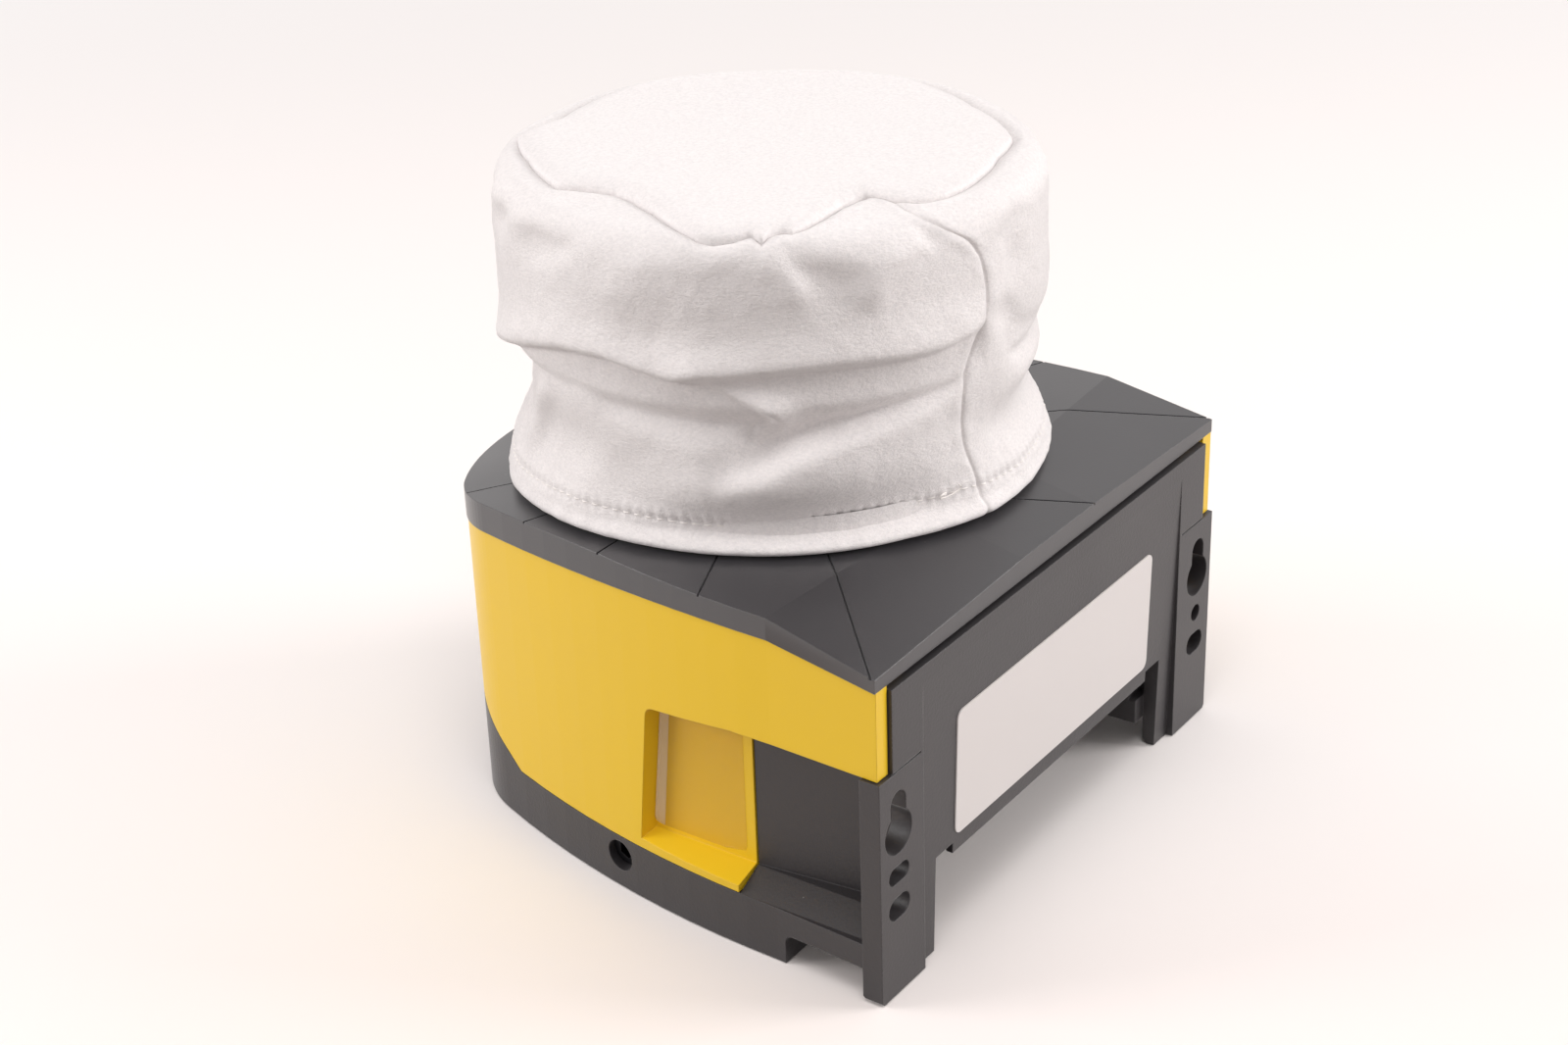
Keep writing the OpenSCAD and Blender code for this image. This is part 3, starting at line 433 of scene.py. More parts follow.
@dataclass(frozen=True)
class ClearMoulding:
    """Clear or dyed moulded polycarbonate, acrylic or polished glass."""

    name: str
    colour: str
    clear: float
    roughness: float
    ior: float

    def build(self) -> bpy.types.Material:
        """Builds the material.

        Returns:
            The material.
        """
        material, tree, surface = blank(self.name, IOR=self.ior, Transmission_Weight=self.clear)
        place = add(tree, "ShaderNodeTexCoord").outputs["Object"]
        swirl = add(tree, "ShaderNodeTexNoise", {"Vector": place, "Scale": per_metre(20), "Detail": 2.0})
        tone = blend_colours(tree, swirl.outputs[0], toned(self.colour, 0.95), linear(self.colour))
        rough = add(
            tree,
            "ShaderNodeMapRange",
            {"Value": swirl.outputs[0], "To Min": self.roughness, "To Max": self.roughness + 0.04},
        )
        wire(tree, surface, Base_Color=tone, Roughness=rough.outputs[0])
        return material


@dataclass(frozen=True)
class CopperWinding:
    """Enamelled copper wire wound on a laminated stack: fine level turns."""

    name: str = "enamelled_copper_winding"
    colour: str = "#8C4A22"
    wire_mm: float = 0.8  # the real wire is 0.3 mm; drawn as coarse as it shows

    def build(self) -> bpy.types.Material:
        """Builds the material.

        Returns:
            The material.
        """
        material, tree, surface = blank(self.name, Metallic=0.8, Roughness=0.35)
        place = add(tree, "ShaderNodeTexCoord").outputs["Object"]
        layers = {"Vector": place, "Scale": per_metre(self.wire_mm) / WAVES_PER_UNIT, "Distortion": 0.6}
        turns = add(tree, "ShaderNodeTexWave", layers, bands_direction="Z")
        # Painted shade: half as bright in the grooves between the turns
        tone = blend_colours(tree, turns.outputs["Fac"], toned(self.colour, 0.5), linear(self.colour))
        relief = add(tree, "ShaderNodeBump", {"Distance": 0.2 * MM, "Height": turns.outputs["Fac"]})
        wire(tree, surface, Base_Color=tone, Normal=relief.outputs[0])
        return material


def dress(nodes: list[str], material: bpy.types.Material, smooth_deg: float = 32.0) -> None:
    """Gives solid nodes a finish and shades their curved faces smoothly.

    Args:
        nodes: names of the nodes.
        material: finish.
        smooth_deg: faces that meet at less than this angle shade as one.
    """
    for name in nodes:
        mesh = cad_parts[name].data
        mesh.materials.clear()
        mesh.materials.append(material)
        mesh.shade_smooth()
        mesh.set_sharp_from_angle(angle=math.radians(smooth_deg))
        log.info("dressed %s with %s", name, material.name)


def new_piece(
    name: str, points: np.ndarray, faces: list, material: bpy.types.Material
) -> bpy.types.Object:
    """Makes a smooth mesh piece that rides on the device.

    Args:
        name: name of the piece.
        points: corners in metres.
        faces: corner numbers of each face.
        material: finish.

    Returns:
        The piece.
    """
    mesh = bpy.data.meshes.new(name)
    mesh.from_pydata([tuple(p) for p in points], [], faces)
    mesh.validate()
    mesh.materials.append(material)
    mesh.shade_smooth()
    piece = bpy.data.objects.new(name, mesh)
    bpy.context.scene.collection.objects.link(piece)
    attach(piece, DEVICE_BODY)
    log.info("built %s: %d faces", name, len(faces))
    return piece


Path = tuple[tuple[float, float], ...]


def around(angle: np.ndarray, start: float) -> np.ndarray:
    """Returns how far angles lie from a start, in degrees from -180 to 180."""
    return (angle - start + 180) % 360 - 180


@dataclass(frozen=True)
class Band:
    """Raised or sunk band of the cloth: its place, its width and how far it stands out, in mm."""

    at: float
    wide: float
    out: float = 1.0
    power: int = 2

    def push(self, where: np.ndarray) -> np.ndarray:
        """Returns how far the band pushes the cloth out, at places in mm."""
        return self.out * np.exp(-(((where - self.at) / self.wide) ** self.power))


@dataclass(frozen=True)
class Crease:
    """Line on the wall of the hood, as (degrees round the head, height in mm), with a shape across it."""

    path: Path
    above_mm: float
    below_mm: float
    out_mm: float
    fade: float = 0.18
    radius_mm: float = 58.2

    def measure(self, angle: np.ndarray, z: np.ndarray) -> tuple[np.ndarray, np.ndarray]:
        """Measures where points lie beside the line.

        Args:
            angle: angles round the head in degrees.
            z: heights in mm.

        Returns:
            Distances in mm, positive above the line, and the strength of the line there from 0 to 1.
        """
        k = math.pi / 180 * self.radius_mm
        best = np.full(angle.shape, 1e9)
        side = np.zeros(angle.shape)
        where = np.zeros(angle.shape)
        legs = list(zip(self.path, self.path[1:]))
        lengths = [math.hypot((b[0] - a[0]) * k, b[1] - a[1]) for a, b in legs]
        total, run = sum(lengths), 0.0
        for ((a0, z0), (a1, z1)), length in zip(legs, lengths):
            dx = around(angle, a0) * k
            dz = z - z0
            vx, vz = (a1 - a0) * k, z1 - z0
            t = np.clip((dx * vx + dz * vz) / (length * length), 0, 1)
            off = np.hypot(dx - t * vx, dz - t * vz)
            near = off < best
            best = np.where(near, off, best)
            side = np.where(near, vx * dz - vz * dx, side)
            where = np.where(near, (run + t * length) / total, where)
            run += length
        ends = np.clip(np.minimum(where, 1 - where) / max(self.fade, 1e-6), 0, 1)
        return np.where(side > 0, best, -best), ends * ends * (3 - 2 * ends)


@dataclass(frozen=True)
class Fold(Crease):
    """Soft crest, or a hollow where out_mm is negative."""

    def push(self, angle: np.ndarray, z: np.ndarray) -> np.ndarray:
        """Works out how far the fold pushes the cloth outwards.

        Args:
            angle: angles round the head in degrees.
            z: heights in mm.

        Returns:
            Push in mm at each point.
        """
        off, strength = self.measure(angle, z)
        width = np.where(off > 0, self.above_mm, self.below_mm)
        return self.out_mm * np.exp(-((off / width) ** 2)) * strength


@dataclass(frozen=True)
class Lip(Crease):
    """Crest that hangs over a hollow: the cloth turns in sharply under the line."""

    in_mm: float = 2.0
    turn_mm: float = 1.0
    steepest: float = 30.0

    def push(self, angle: np.ndarray, z: np.ndarray) -> np.ndarray:
        """Works out how far the lip pushes the cloth outwards.

        Args:
            angle: angles round the head in degrees.
            z: heights in mm.

        Returns:
            Push in mm at each point.
        """
        off, strength = self.measure(angle, z)
        upper = 1 / (1 + np.exp(np.clip(-2 * off / self.turn_mm, -self.steepest, self.steepest)))
        crest = self.out_mm * upper * np.exp(-((np.maximum(off, 0) / self.above_mm) ** 2))
        hollow = self.in_mm * (1 - upper) * np.exp(-((np.minimum(off, 0) / self.below_mm) ** 2))
        return (crest - hollow) * strength


@dataclass
class Thread:
    """Sewing thread, drawn as closed tubes."""

    verts: list = field(default_factory=list)
    faces: list = field(default_factory=list)
    sides: int = 6

    def lay(self, course: list[tuple[np.ndarray, np.ndarray, float]]) -> None:
        """Lays one length of thread.

        Args:
            course: for each ring its middle in mm, the direction away from the cloth and its radius in mm.
        """
        base, sides = len(self.verts), self.sides
        for middle, out, radius in course:
            for m in range(sides):
                w = 2 * math.pi * m / sides
                self.verts.append(middle + radius * (out * math.cos(w) + UP * math.sin(w)))
        last = base + (len(course) - 1) * sides
        for ring in range(base, last, sides):
            for m in range(sides):
                n = (m + 1) % sides
                self.faces.append((ring + m, ring + n, ring + sides + n, ring + sides + m))
        self.faces.append(tuple(base + m for m in range(sides))[::-1])
        self.faces.append(tuple(last + m for m in range(sides)))


@dataclass
class DustHood:
    """Fleece dust hood: a round top sewn to a wall with one side seam, gathered under the cap and hemmed."""

    centre_y: float = -1.5
    low_z: float = 81.0
    top_z: float = 149.9
    wall_top_z: float = 148.1
    seam_z: float = 148.0
    cover_r: float = 58.2
    shoulder_mm: float = 5.6
    # The head under the cloth: cap, and below its edge the flared window
    cap_edge_z: float = 114.4
    cap_r: float = 57.0
    under_cap_mm: float = 7.5
    window_low_z: float = 84.0
    window_low_r: float = 48.3
    window_tall_mm: float = 34.0
    window_flare_mm: float = 5.6
    # Waist of the wall: soft all round, but on one side turned in right down to the hem's stitches
    waist: Band = Band(98.5, 9.5, 4.3)
    slack: Band = Band(128.0, 16.0, 0.4, power=4)
    hem_flare: Band = Band(84.1, 6.0, 1.2)
    low_waist_at: float = 43.0
    low_waist_deg: float = 34.0
    tuck_mm: float = 4.8
    tuck_z: float = 84.3
    tuck_top_z: float = 102.0
    # Round top: how it rolls into its seam, and its slack
    roll_mm: float = 4.6
    top_swell: Band = Band(-0.5, 1.2, 0.8)
    top_slack_mm: float = 0.25
    # Wall beside the seam of the round top, and beside its own seam
    dive_mm: float = 0.75
    dive_wide_mm: float = 2.6
    seam_swell: Band = Band(3.4, 2.2, 0.35)
    seam_line: Band = Band(0.0, 0.42, -0.5)
    pucker: Band = Band(2.0, 1.6)
    seam_start: float = 78.0
    seam_reach_deg: float = 26.0
    # Hem: the cloth ends at cut_z, and is eased up to the surface under it from eased_z down
    cut_z: float = 80.0
    eased_z: float = 100.0
    hem_mm: float = 6.5
    hem_radii: tuple[float, ...] = (55.5, 57.0, 58.5)
    hem_edge: Band = Band(1.7, 1.4, 0.5)
    stitch_line: Band = Band(0.0, 0.7)
    stitch_swell: Band = Band(1.6, 1.1, 0.25)
    inside_hem: Path = ((0.9, -0.2), (1.8, -0.1), (2.3, 0.6), (2.5, 2.5), (2.5, 5.0), (2.5, 7.2))
    stitch_count: int = 140
    stitch_steps: int = 6
    loop_at: int = 3
    loop_steps: int = 30
    # Unevenness of the cloth: where it reaches its full strength sideways, and the spacing and height of its
    # soft waves and of its tufts
    ruffle_r: float = 58.0
    wave_mm: float = 15.0
    wave_high_mm: float = 0.42
    tuft_mm: float = 3.6
    tuft_high_mm: float = 0.14
    hem_tuft_mm: float = 0.12
    top_rows: int = 24
    wall_rows: int = 104
    edge_steps: tuple[float, ...] = (0.12, 0.3, 0.55, 0.9, 1.3, 1.8, 2.4, 3.1)
    # Seam of the round top: distance from the centre, at each angle
    top_seam: Path = (
        (-66, 54.5), (-49, 50), (-36, 48.6), (-27, 48), (-24.5, 46.4), (-22, 44.6), (-18, 42.5), (-13, 40.9),
        (-5, 41.5), (5, 44.9), (11, 48.6), (16.5, 52.5), (21, 55.1), (24, 55.7), (28, 54.9), (31.7, 53.1),
        (33.9, 55.6), (35.4, 53.1), (38, 51.8), (40, 52.5), (43, 50.7), (47, 47.3), (51, 44.2), (56, 40.9),
        (62, 39), (65.4, 38.8), (67, 40.5), (68.5, 43.7), (70.8, 46.2), (75, 48.1), (80, 49.2), (88, 49.2),
        (95, 48.8), (111, 48.5), (124, 51), (150, 48.6), (180, 52.5), (215, 47), (250, 52.6), (280, 49.5),
    )
    # Seam of the wall: height, at each angle
    side_seam: Path = (
        (64.5, 149), (72, 146), (79, 141.5), (82.4, 130.7), (82, 124), (80, 119),
        (76, 112), (77, 104), (78, 97.5), (82.6, 87), (82, 80),
    )
    creases: tuple[Fold | Lip, ...] = (
        # Left lip with its hollow, which ends in a tip under the cap
        Lip(
            (
                (-80, 103), (-54, 107.5), (-34, 113.5), (-20, 118), (-10, 120.5), (0, 121.2),
                (9, 119.8), (21, 117.5), (27, 115.4), (34, 111.6), (38, 108),
            ),
            6, 8, 2.1, 0.06, in_mm=4.6, turn_mm=1.0,
        ),
        Fold(((-8, 112.5), (8, 110.8), (20, 109.6), (33, 107.6)), 3.0, 3.4, -2.8, 0.25),
        # Right lip, from over the tip to the side seam
        Lip(
            (
                (12, 119), (22, 120.2), (38, 121.2), (48, 121.6),
                (60, 121), (70, 120.4), (77, 121.5), (84, 124),
            ),
            8, 6, 2.0, 0.12, in_mm=3.2, turn_mm=1.4,
        ),
        # Diagonal valley and the ridge below it
        Fold(
            ((18, 96.5), (27, 100.5), (38, 105.7), (48, 109), (61, 112), (71, 114.3), (84, 118)),
            4.6, 2.8, -6.0, 0.28,
        ),
        Fold(
            ((4, 90), (18, 94.5), (32, 99.5), (44, 103.5), (56, 107), (69, 109), (80, 109)),
            3.0, 7.0, 0.5, 0.4,
        ),
        # Beyond the side seam
        Fold(((84, 117), (108, 112), (125, 111.2), (150, 111), (190, 105)), 4.0, 4.0, -2.4),
        Fold(((84, 103), (108, 106), (125, 105), (150, 108), (175, 112)), 4.0, 4.4, 1.3),
        Fold(((84, 99), (100, 95), (125, 94.5)), 4.4, 4.4, -1.0),
        Fold(((-6, 92), (20, 93), (44, 95), (66, 98)), 8.0, 6.5, 1.6, 0.45),
        # Soft upright folds at the left
        Fold(((-38, 88), (-30, 98), (-24, 106), (-19, 114)), 3.4, 3.4, 1.8, 0.3),
        Fold(((-54, 104), (-47, 96), (-40, 88)), 4.6, 4.6, -1.6, 0.3),
        Fold(((-14, 86), (-7, 93), (-2, 101), (0, 108)), 6.0, 6.0, 1.0, 0.3),
        # Far side
        Lip(((165, 117), (200, 120.5), (235, 118), (270, 112)), 8, 7, 1.4, 0.15, in_mm=3.0, turn_mm=1.4),
        Fold(((205, 100.5), (250, 106), (285, 109)), 3.0, 6.5, 2.6, 0.2),
        Fold(((150, 92), (200, 92.5)), 5.6, 2.6, -2.6),
        Fold(((236, 93), (280, 92.5)), 5.6, 2.6, -2.4),
        # Pleats and dents under the seam of the round top
        Fold(((34.0, 151), (36.5, 145), (40, 139), (44, 134)), 2.2, 3.4, 1.0, 0.35),
        Fold(((36, 150), (42, 142.5), (48, 138), (52, 134)), 4.5, 4.5, -1.3, 0.35),
        Fold(((66, 151), (62, 146), (57, 140), (52, 131)), 3.4, 4.2, 1.4, 0.3),
        Fold(((64.5, 151), (67, 146.5), (70, 142)), 1.8, 1.8, -1.6, 0.4),
        Fold(((-2, 150), (-10, 144.5), (-18, 141), (-28, 137)), 4.0, 4.6, -1.7, 0.35),
        Fold(((16, 150), (8, 140), (-4, 130)), 6.0, 6.0, 1.0, 0.4),
        Fold(((-28, 150), (-34, 143), (-42, 136)), 3.4, 3.4, -1.2, 0.35),
        Fold(((-56, 150), (-52, 143), (-53, 137)), 3.0, 3.0, -1.0, 0.35),
        Fold(((58, 133), (40, 129.5), (22, 127), (4, 127.5), (-14, 131)), 5.5, 6.5, -0.9, 0.3),
        Fold(((96, 150), (90, 139), (94, 126)), 4.0, 4.0, -1.0, 0.35),
        Fold(((84, 128), (90, 122), (96, 115), (98, 108)), 3.5, 3.5, -1.4, 0.35),
        Fold(((134, 150), (124, 140), (118, 124)), 5.0, 5.0, -1.1, 0.35),
        Fold(((200, 150), (206, 140), (216, 128)), 5.0, 5.0, -1.2, 0.35),
        Fold(((266, 150), (258, 140), (250, 128)), 5.0, 5.0, 1.0, 0.35),
    )

    def head_r(self, z: np.ndarray) -> np.ndarray:
        """Works out the radius that the head under the cloth needs.

        Args:
            z: heights in mm.

        Returns:
            Least radii of the cloth in mm: round the cap, and below its edge round the flared window.
        """
        flare = self.window_flare_mm * np.clip((z - self.window_low_z) / self.window_tall_mm, 0, 1)
        window = self.window_low_r + flare
        share = np.clip((z - self.cap_edge_z + self.under_cap_mm) / self.under_cap_mm, 0, 1)
        return window + (self.cap_r - window) * share * share * (3 - 2 * share)

    def wall_r(self, angle: np.ndarray, z: np.ndarray) -> np.ndarray:
        """Works out the radius of the wall.

        Args:
            angle: angles round the head in degrees.
            z: heights in mm.

        Returns:
            Radii in mm.
        """
        low = 1 / (1 + (around(angle, self.low_waist_at) / self.low_waist_deg) ** 4)
        depth = np.clip((self.tuck_top_z - z) / (self.tuck_top_z - self.tuck_z), 0, 1)
        inward = 0.5 - 0.5 * np.cos(math.pi * depth**1.3)
        tuck = self.tuck_mm * np.where(z > self.tuck_z, inward, Band(self.tuck_z, 1.5).push(z))
        waist = self.waist.push(z) * (1 - low) + tuck * low
        smooth = self.cover_r + self.slack.push(z) + self.hem_flare.push(z) * (1 - 0.9 * low) - waist
        r = smooth + sum(crease.push(angle, z) for crease in self.creases)
        # The cloth rests on the head where it would run into it
        gap, soft = r - self.head_r(z), 0.25
        return self.head_r(z) + soft * np.logaddexp(0, gap / soft)

    def seam_r(self, angle: np.ndarray) -> np.ndarray:
        """Returns the radius in mm of the round top's seam, at each angle."""
        first = self.top_seam[0]
        known = np.array([*self.top_seam, (first[0] + 360, first[1])])
        return np.interp((angle - first[0]) % 360 + first[0], known[:, 0], known[:, 1])

    def columns(self) -> np.ndarray:
        """Returns the columns in degrees: four to a stitch from the side seam on, and closer beside it."""
        even = np.arange(4 * self.stitch_count) * 90 / self.stitch_count
        beside = np.array([0.2, 0.42])
        return self.seam_start + np.sort(np.concatenate([even, beside, 360 - beside]))

    def follow_seam(self, column: np.ndarray, z: np.ndarray) -> np.ndarray:
        """Bends the columns so that the first one runs down the side seam.

        Args:
            column: columns in degrees.
            z: heights in mm.

        Returns:
            Angles in degrees.
        """
        heights, angles = zip(*sorted((height, angle) for angle, height in self.side_seam))
        # The mean over a few heights rounds the line's corners
        seam = sum(np.interp(z + away, heights, angles) for away in (-3.6, -1.2, 1.2, 3.6)) / 4
        beside = around(column, self.seam_start)
        return column + (seam - self.seam_start) * np.exp(-((beside / self.seam_reach_deg) ** 2))

    def surface(self, floor: BVHTree) -> np.ndarray:
        """Lays the cloth out as a grid from the middle of the round top down to the hem.

        Args:
            floor: surface that the hem rests on.

        Returns:
            Points in mm, by row and column.
        """
        u = self.columns()
        rc, flat = self.shoulder_mm, self.cover_r - self.shoulder_mm
        seam_r = self.seam_r(self.follow_seam(u, np.full(u.shape, self.seam_z)))
        start = np.where(seam_r > flat, flat + rc * np.arcsin(np.clip((seam_r - flat) / rc, 0, 1)), seam_r)
        return self.ruffle(np.concatenate([self.round_top(u, seam_r, start), self.wall(u, start, floor)]))

    def round_top(self, u: np.ndarray, seam_r: np.ndarray, start: np.ndarray) -> np.ndarray:
        """Lays out the round top: flat, then rolled down into its seam, with some slack.

        Args:
            u: columns in degrees.
            seam_r: radius in mm of the seam at each column.
            start: distance in mm along the wall's cloth at which the seam lies.

        Returns:
            Points in mm, by row and column.
        """
        edge = np.array(self.edge_steps[::-1])
        inner = np.linspace(0.05, 1, self.top_rows)[:, None] * (seam_r - edge[0] - 0.7)
        rho = np.concatenate([inner, seam_r - edge[:, None], seam_r[None]])
        angle = self.follow_seam(np.broadcast_to(u, rho.shape), np.full(rho.shape, self.seam_z))
        bend = np.clip((rho - seam_r + self.roll_mm) / self.roll_mm, 0, 1)
        seam = self.wall_height(start) - 0.9
        top = self.top_z + self.top_slack_mm * np.cos(np.radians(3 * angle + 40)) * (rho / 50) ** 2
        z = top - (top - seam) * (1 - np.sqrt(1 - bend**2))
        swell = self.top_swell.push(rho - seam_r) * np.sin(np.pi * bend)
        return self.place(angle, rho + swell, z)

    def wall(self, u: np.ndarray, start: np.ndarray, floor: BVHTree) -> np.ndarray:
        """Lays out the wall: out from the seam of the round top, over the shoulder and down to the hem.

        Args:
            u: columns in degrees.
            start: distance in mm along the wall's cloth at which that seam lies.
            floor: surface that the hem rests on.

        Returns:
            Points in mm, by row and column.
        """
        rc, flat = self.shoulder_mm, self.cover_r - self.shoulder_mm
        end = flat + rc * math.pi / 2 + self.wall_top_z - rc - self.cut_z
        far = np.linspace(0, 1, self.wall_rows + 1)[1:, None]
        near = np.array(self.edge_steps)[:, None]
        run = np.concatenate([near + np.zeros(u.shape), near[-1] + (end - start - near[-1]) * far])
        s = start + run
        phi = np.clip((s - flat) / rc, 0, math.pi / 2)
        z = self.wall_height(s)
        angle = self.follow_seam(np.broadcast_to(u, s.shape), z)
        share = (phi / (math.pi / 2)) ** 1.5
        r = np.minimum(s, flat) + rc * np.sin(phi) + (self.wall_r(angle, z) - self.cover_r) * share
        lift = self.seam_lift(u, run, z) + self.hem_lift(u, z - self.cut_z)
        # Below eased_z the cloth is eased up, so that its edge lies on the surface under it
        rest = self.rest_height(floor, angle[-1]) + 0.25
        eased = rest + (z - self.cut_z) * (self.eased_z - rest) / (self.eased_z - self.cut_z)
        z = np.where(z < self.eased_z, eased, z)
        return self.place(angle, r + np.sin(phi) * lift, z + np.cos(phi) * lift)

    def seam_lift(self, u: np.ndarray, run: np.ndarray, z: np.ndarray) -> np.ndarray:
        """Works out how the wall's cloth rises and sinks beside its seams.

        Args:
            u: columns in degrees.
            run: distances in mm from the seam of the round top.
            z: heights in mm.

        Returns:
            Lift in mm.
        """
        # The cloth dives into the seam of the round top, and swells beside it
        dive = np.clip(1 - run / self.dive_wide_mm, 0, 1)
        lift = self.seam_swell.push(run) - self.dive_mm * (1 - np.sqrt(np.clip(1 - dive**2, 0, 1)))
        # Side seam: a narrow sunk line with small puckers beside it
        beside = np.abs(around(np.broadcast_to(u, run.shape), self.seam_start)) * math.pi / 180 * self.cover_r
        pucker = 0.16 + 0.12 * np.sin(z * 0.9)
        return lift + pucker * self.pucker.push(beside) + self.seam_line.push(beside)

    def hem_lift(self, u: np.ndarray, up: np.ndarray) -> np.ndarray:
        """Works out how the cloth rises and sinks at the hem, where it is turned up under a line of stitches.

        Args:
            u: columns in degrees.
            up: heights in mm over the hem's edge.

        Returns:
            Lift in mm.
        """
        stitch = (0.5 + 0.5 * np.cos(np.radians((u - self.seam_start) * self.stitch_count))) ** 2
        over = up - self.hem_mm
        lift = self.hem_edge.push(up) - (0.1 + 0.55 * stitch) * self.stitch_line.push(over)
        return lift + (1 - stitch) * self.stitch_swell.push(over) - 1.3 * np.clip(1 - up / 1.5, 0, 1) ** 2

    def wall_height(self, s: np.ndarray) -> np.ndarray:
        """Returns the height in mm of the wall's cloth at distances in mm from the middle along it."""
        rc, flat = self.shoulder_mm, self.cover_r - self.shoulder_mm
        phi = np.clip((s - flat) / rc, 0, math.pi / 2)
        return self.wall_top_z - rc * (1 - np.cos(phi)) - np.maximum(s - flat - rc * math.pi / 2, 0)

    def place(self, angle: np.ndarray, r: np.ndarray, z: np.ndarray) -> np.ndarray:
        """Turns angles in degrees, radii and heights in mm into points."""
        t = np.radians(angle)
        return np.stack([r * np.cos(t), self.centre_y + r * np.sin(t), z + np.zeros(t.shape)], axis=-1)

    def outward(self, points: np.ndarray) -> np.ndarray:
        """Returns the level unit vectors away from the head's axis, at points in mm."""
        away = (points - [0, self.centre_y, 0]) * [1, 1, 0]
        return away / np.linalg.norm(away, axis=-1, keepdims=True)

    def rest_height(self, floor: BVHTree, angle: np.ndarray) -> np.ndarray:
        """Feels for the surface under the hem.

        Args:
            floor: surface that the hem rests on.
            angle: angles in degrees.

        Returns:
            Highest height in mm across the hem's width, at each angle.
        """
        down = Vector((0, 0, -1))
        across = np.array(self.hem_radii)
        heights = []
        for a in angle:
            spots = self.place(np.full(across.shape, a), across, self.eased_z)
            hits = [floor.ray_cast(Vector(spot) * MM, down)[0] for spot in spots]
            heights.append(max((hit.z / MM for hit in hits if hit), default=self.cut_z))
        ring = np.array(heights)
        return np.maximum.reduce([np.roll(ring, k) for k in range(-3, 4)])

    def ruffle(self, points: np.ndarray) -> np.ndarray:
        """Gives the cloth the small unevenness of a soft, thick fabric.

        Args:
            points: points in mm.

        Returns:
            The points, each moved by up to 0.5 mm.
        """
        out = points.copy()
        for p in out.reshape(-1, 3):
            v = Vector(p)
            reach = min(1.0, math.hypot(p[0], p[1]) / self.ruffle_r) ** 6
            away = Vector((p[0], p[1] - self.centre_y, 0)).normalized() * reach
            tuft = self.tuft_high_mm + self.hem_tuft_mm * (p[2] < self.low_z + self.hem_mm)
            rise = self.wave_high_mm * noise.noise(v / self.wave_mm) + tuft * noise.noise(v / self.tuft_mm)
            p += np.array(away + Vector((0, 0, 0.3))) * rise
        return out

    def build(self, fleece: bpy.types.Material, thread: bpy.types.Material) -> None:
        """Args:
            fleece: finish of the cloth.
            thread: finish of the sewing thread.
        """
        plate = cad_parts["top_plate"].data
        floor = BVHTree.FromPolygons([v.co for v in plate.vertices], [p.vertices for p in plate.polygons])
        points = self.surface(floor)
        stitches = self.stitches(points, thread)
        # The hem's turned-up layer inside
        edge = points[-1]
        inner = [edge - self.outward(edge) * inward + UP * up for inward, up in self.inside_hem]
        points = np.concatenate([points, np.array(inner)])
        rows, cols = points.shape[:2]
        top = [[0.0, self.centre_y, float(points[0][:, 2].mean())]]
        faces = [
            (i * cols + j, (i + 1) * cols + j, (i + 1) * cols + (j + 1) % cols, i * cols + (j + 1) % cols)
            for i in range(rows - 1)
            for j in range(cols)
        ]
        faces += [(rows * cols, j, (j + 1) % cols) for j in range(cols)]
        corners = np.concatenate([points.reshape(-1, 3), top]) * MM
        hood = new_piece("fleece_hood", corners, faces, fleece)
        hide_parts("dust_hood")

    def stitches(self, points: np.ndarray, thread: bpy.types.Material) -> bpy.types.Object:
        """Sews the hem's line of stitches into its sunk line.

        Args:
            points: grid of the cloth in mm.
            thread: finish of the thread.

        Returns:
            The line of stitches.
        """
        tall = points[:, 0, 2] - points[-1, 0, 2]
        ring = points[int(np.argmin(np.abs(tall - self.hem_mm)))]
        cols = ring.shape[0]
        bearing = np.append(self.columns(), self.seam_start + 360)
        sewn = Thread()
        for k in range(self.stitch_count):
            course = []
            for step in np.linspace(0, 1, self.stitch_steps + 1):
                turn = self.seam_start + (k + 0.1 + 0.8 * step) / self.stitch_count * 360
                x = float(np.interp(turn, bearing, np.arange(cols + 1)))
                j, f = int(x) % cols, x - int(x)
                p = ring[j] * (1 - f) + ring[(j + 1) % cols] * f
                out = self.outward(p)
                arch = math.sin(math.pi * step)
                course.append((p + out * (0.16 * arch - 0.12), out, 0.07 + 0.06 * min(1.0, 2 * arch)))
            sewn.lay(course)
        sewn.lay(self.loose_loop(ring[-4 * self.loop_at]))
        return new_piece("hem_stitches", np.array(sewn.verts) * MM, sewn.faces, thread)

    def loose_loop(self, start: np.ndarray) -> list[tuple[np.ndarray, np.ndarray, float]]:
        """Works out the course of the slack loop that the thread's end leaves on the cloth.

        Args:
            start: point of the stitch line in mm where the loop comes out.

        Returns:
            For each ring its middle in mm, the direction away from the cloth and its radius in mm.
        """
        out = self.outward(start)
        along = np.cross(UP, out)
        course = []
        for i in range(self.loop_steps + 1):
            t = 2 * math.pi * (0.08 + 0.98 * i / self.loop_steps)
            sideways = 2.1 * math.sin(t) - 0.5 * t
            rise = 0.9 + 0.75 * math.cos(t) - 0.12 * t
            off = 0.45 + 0.2 * math.sin(t * 1.5)
            course.append((start + out * off + along * sideways + UP * rise, out, 0.15))
        return course


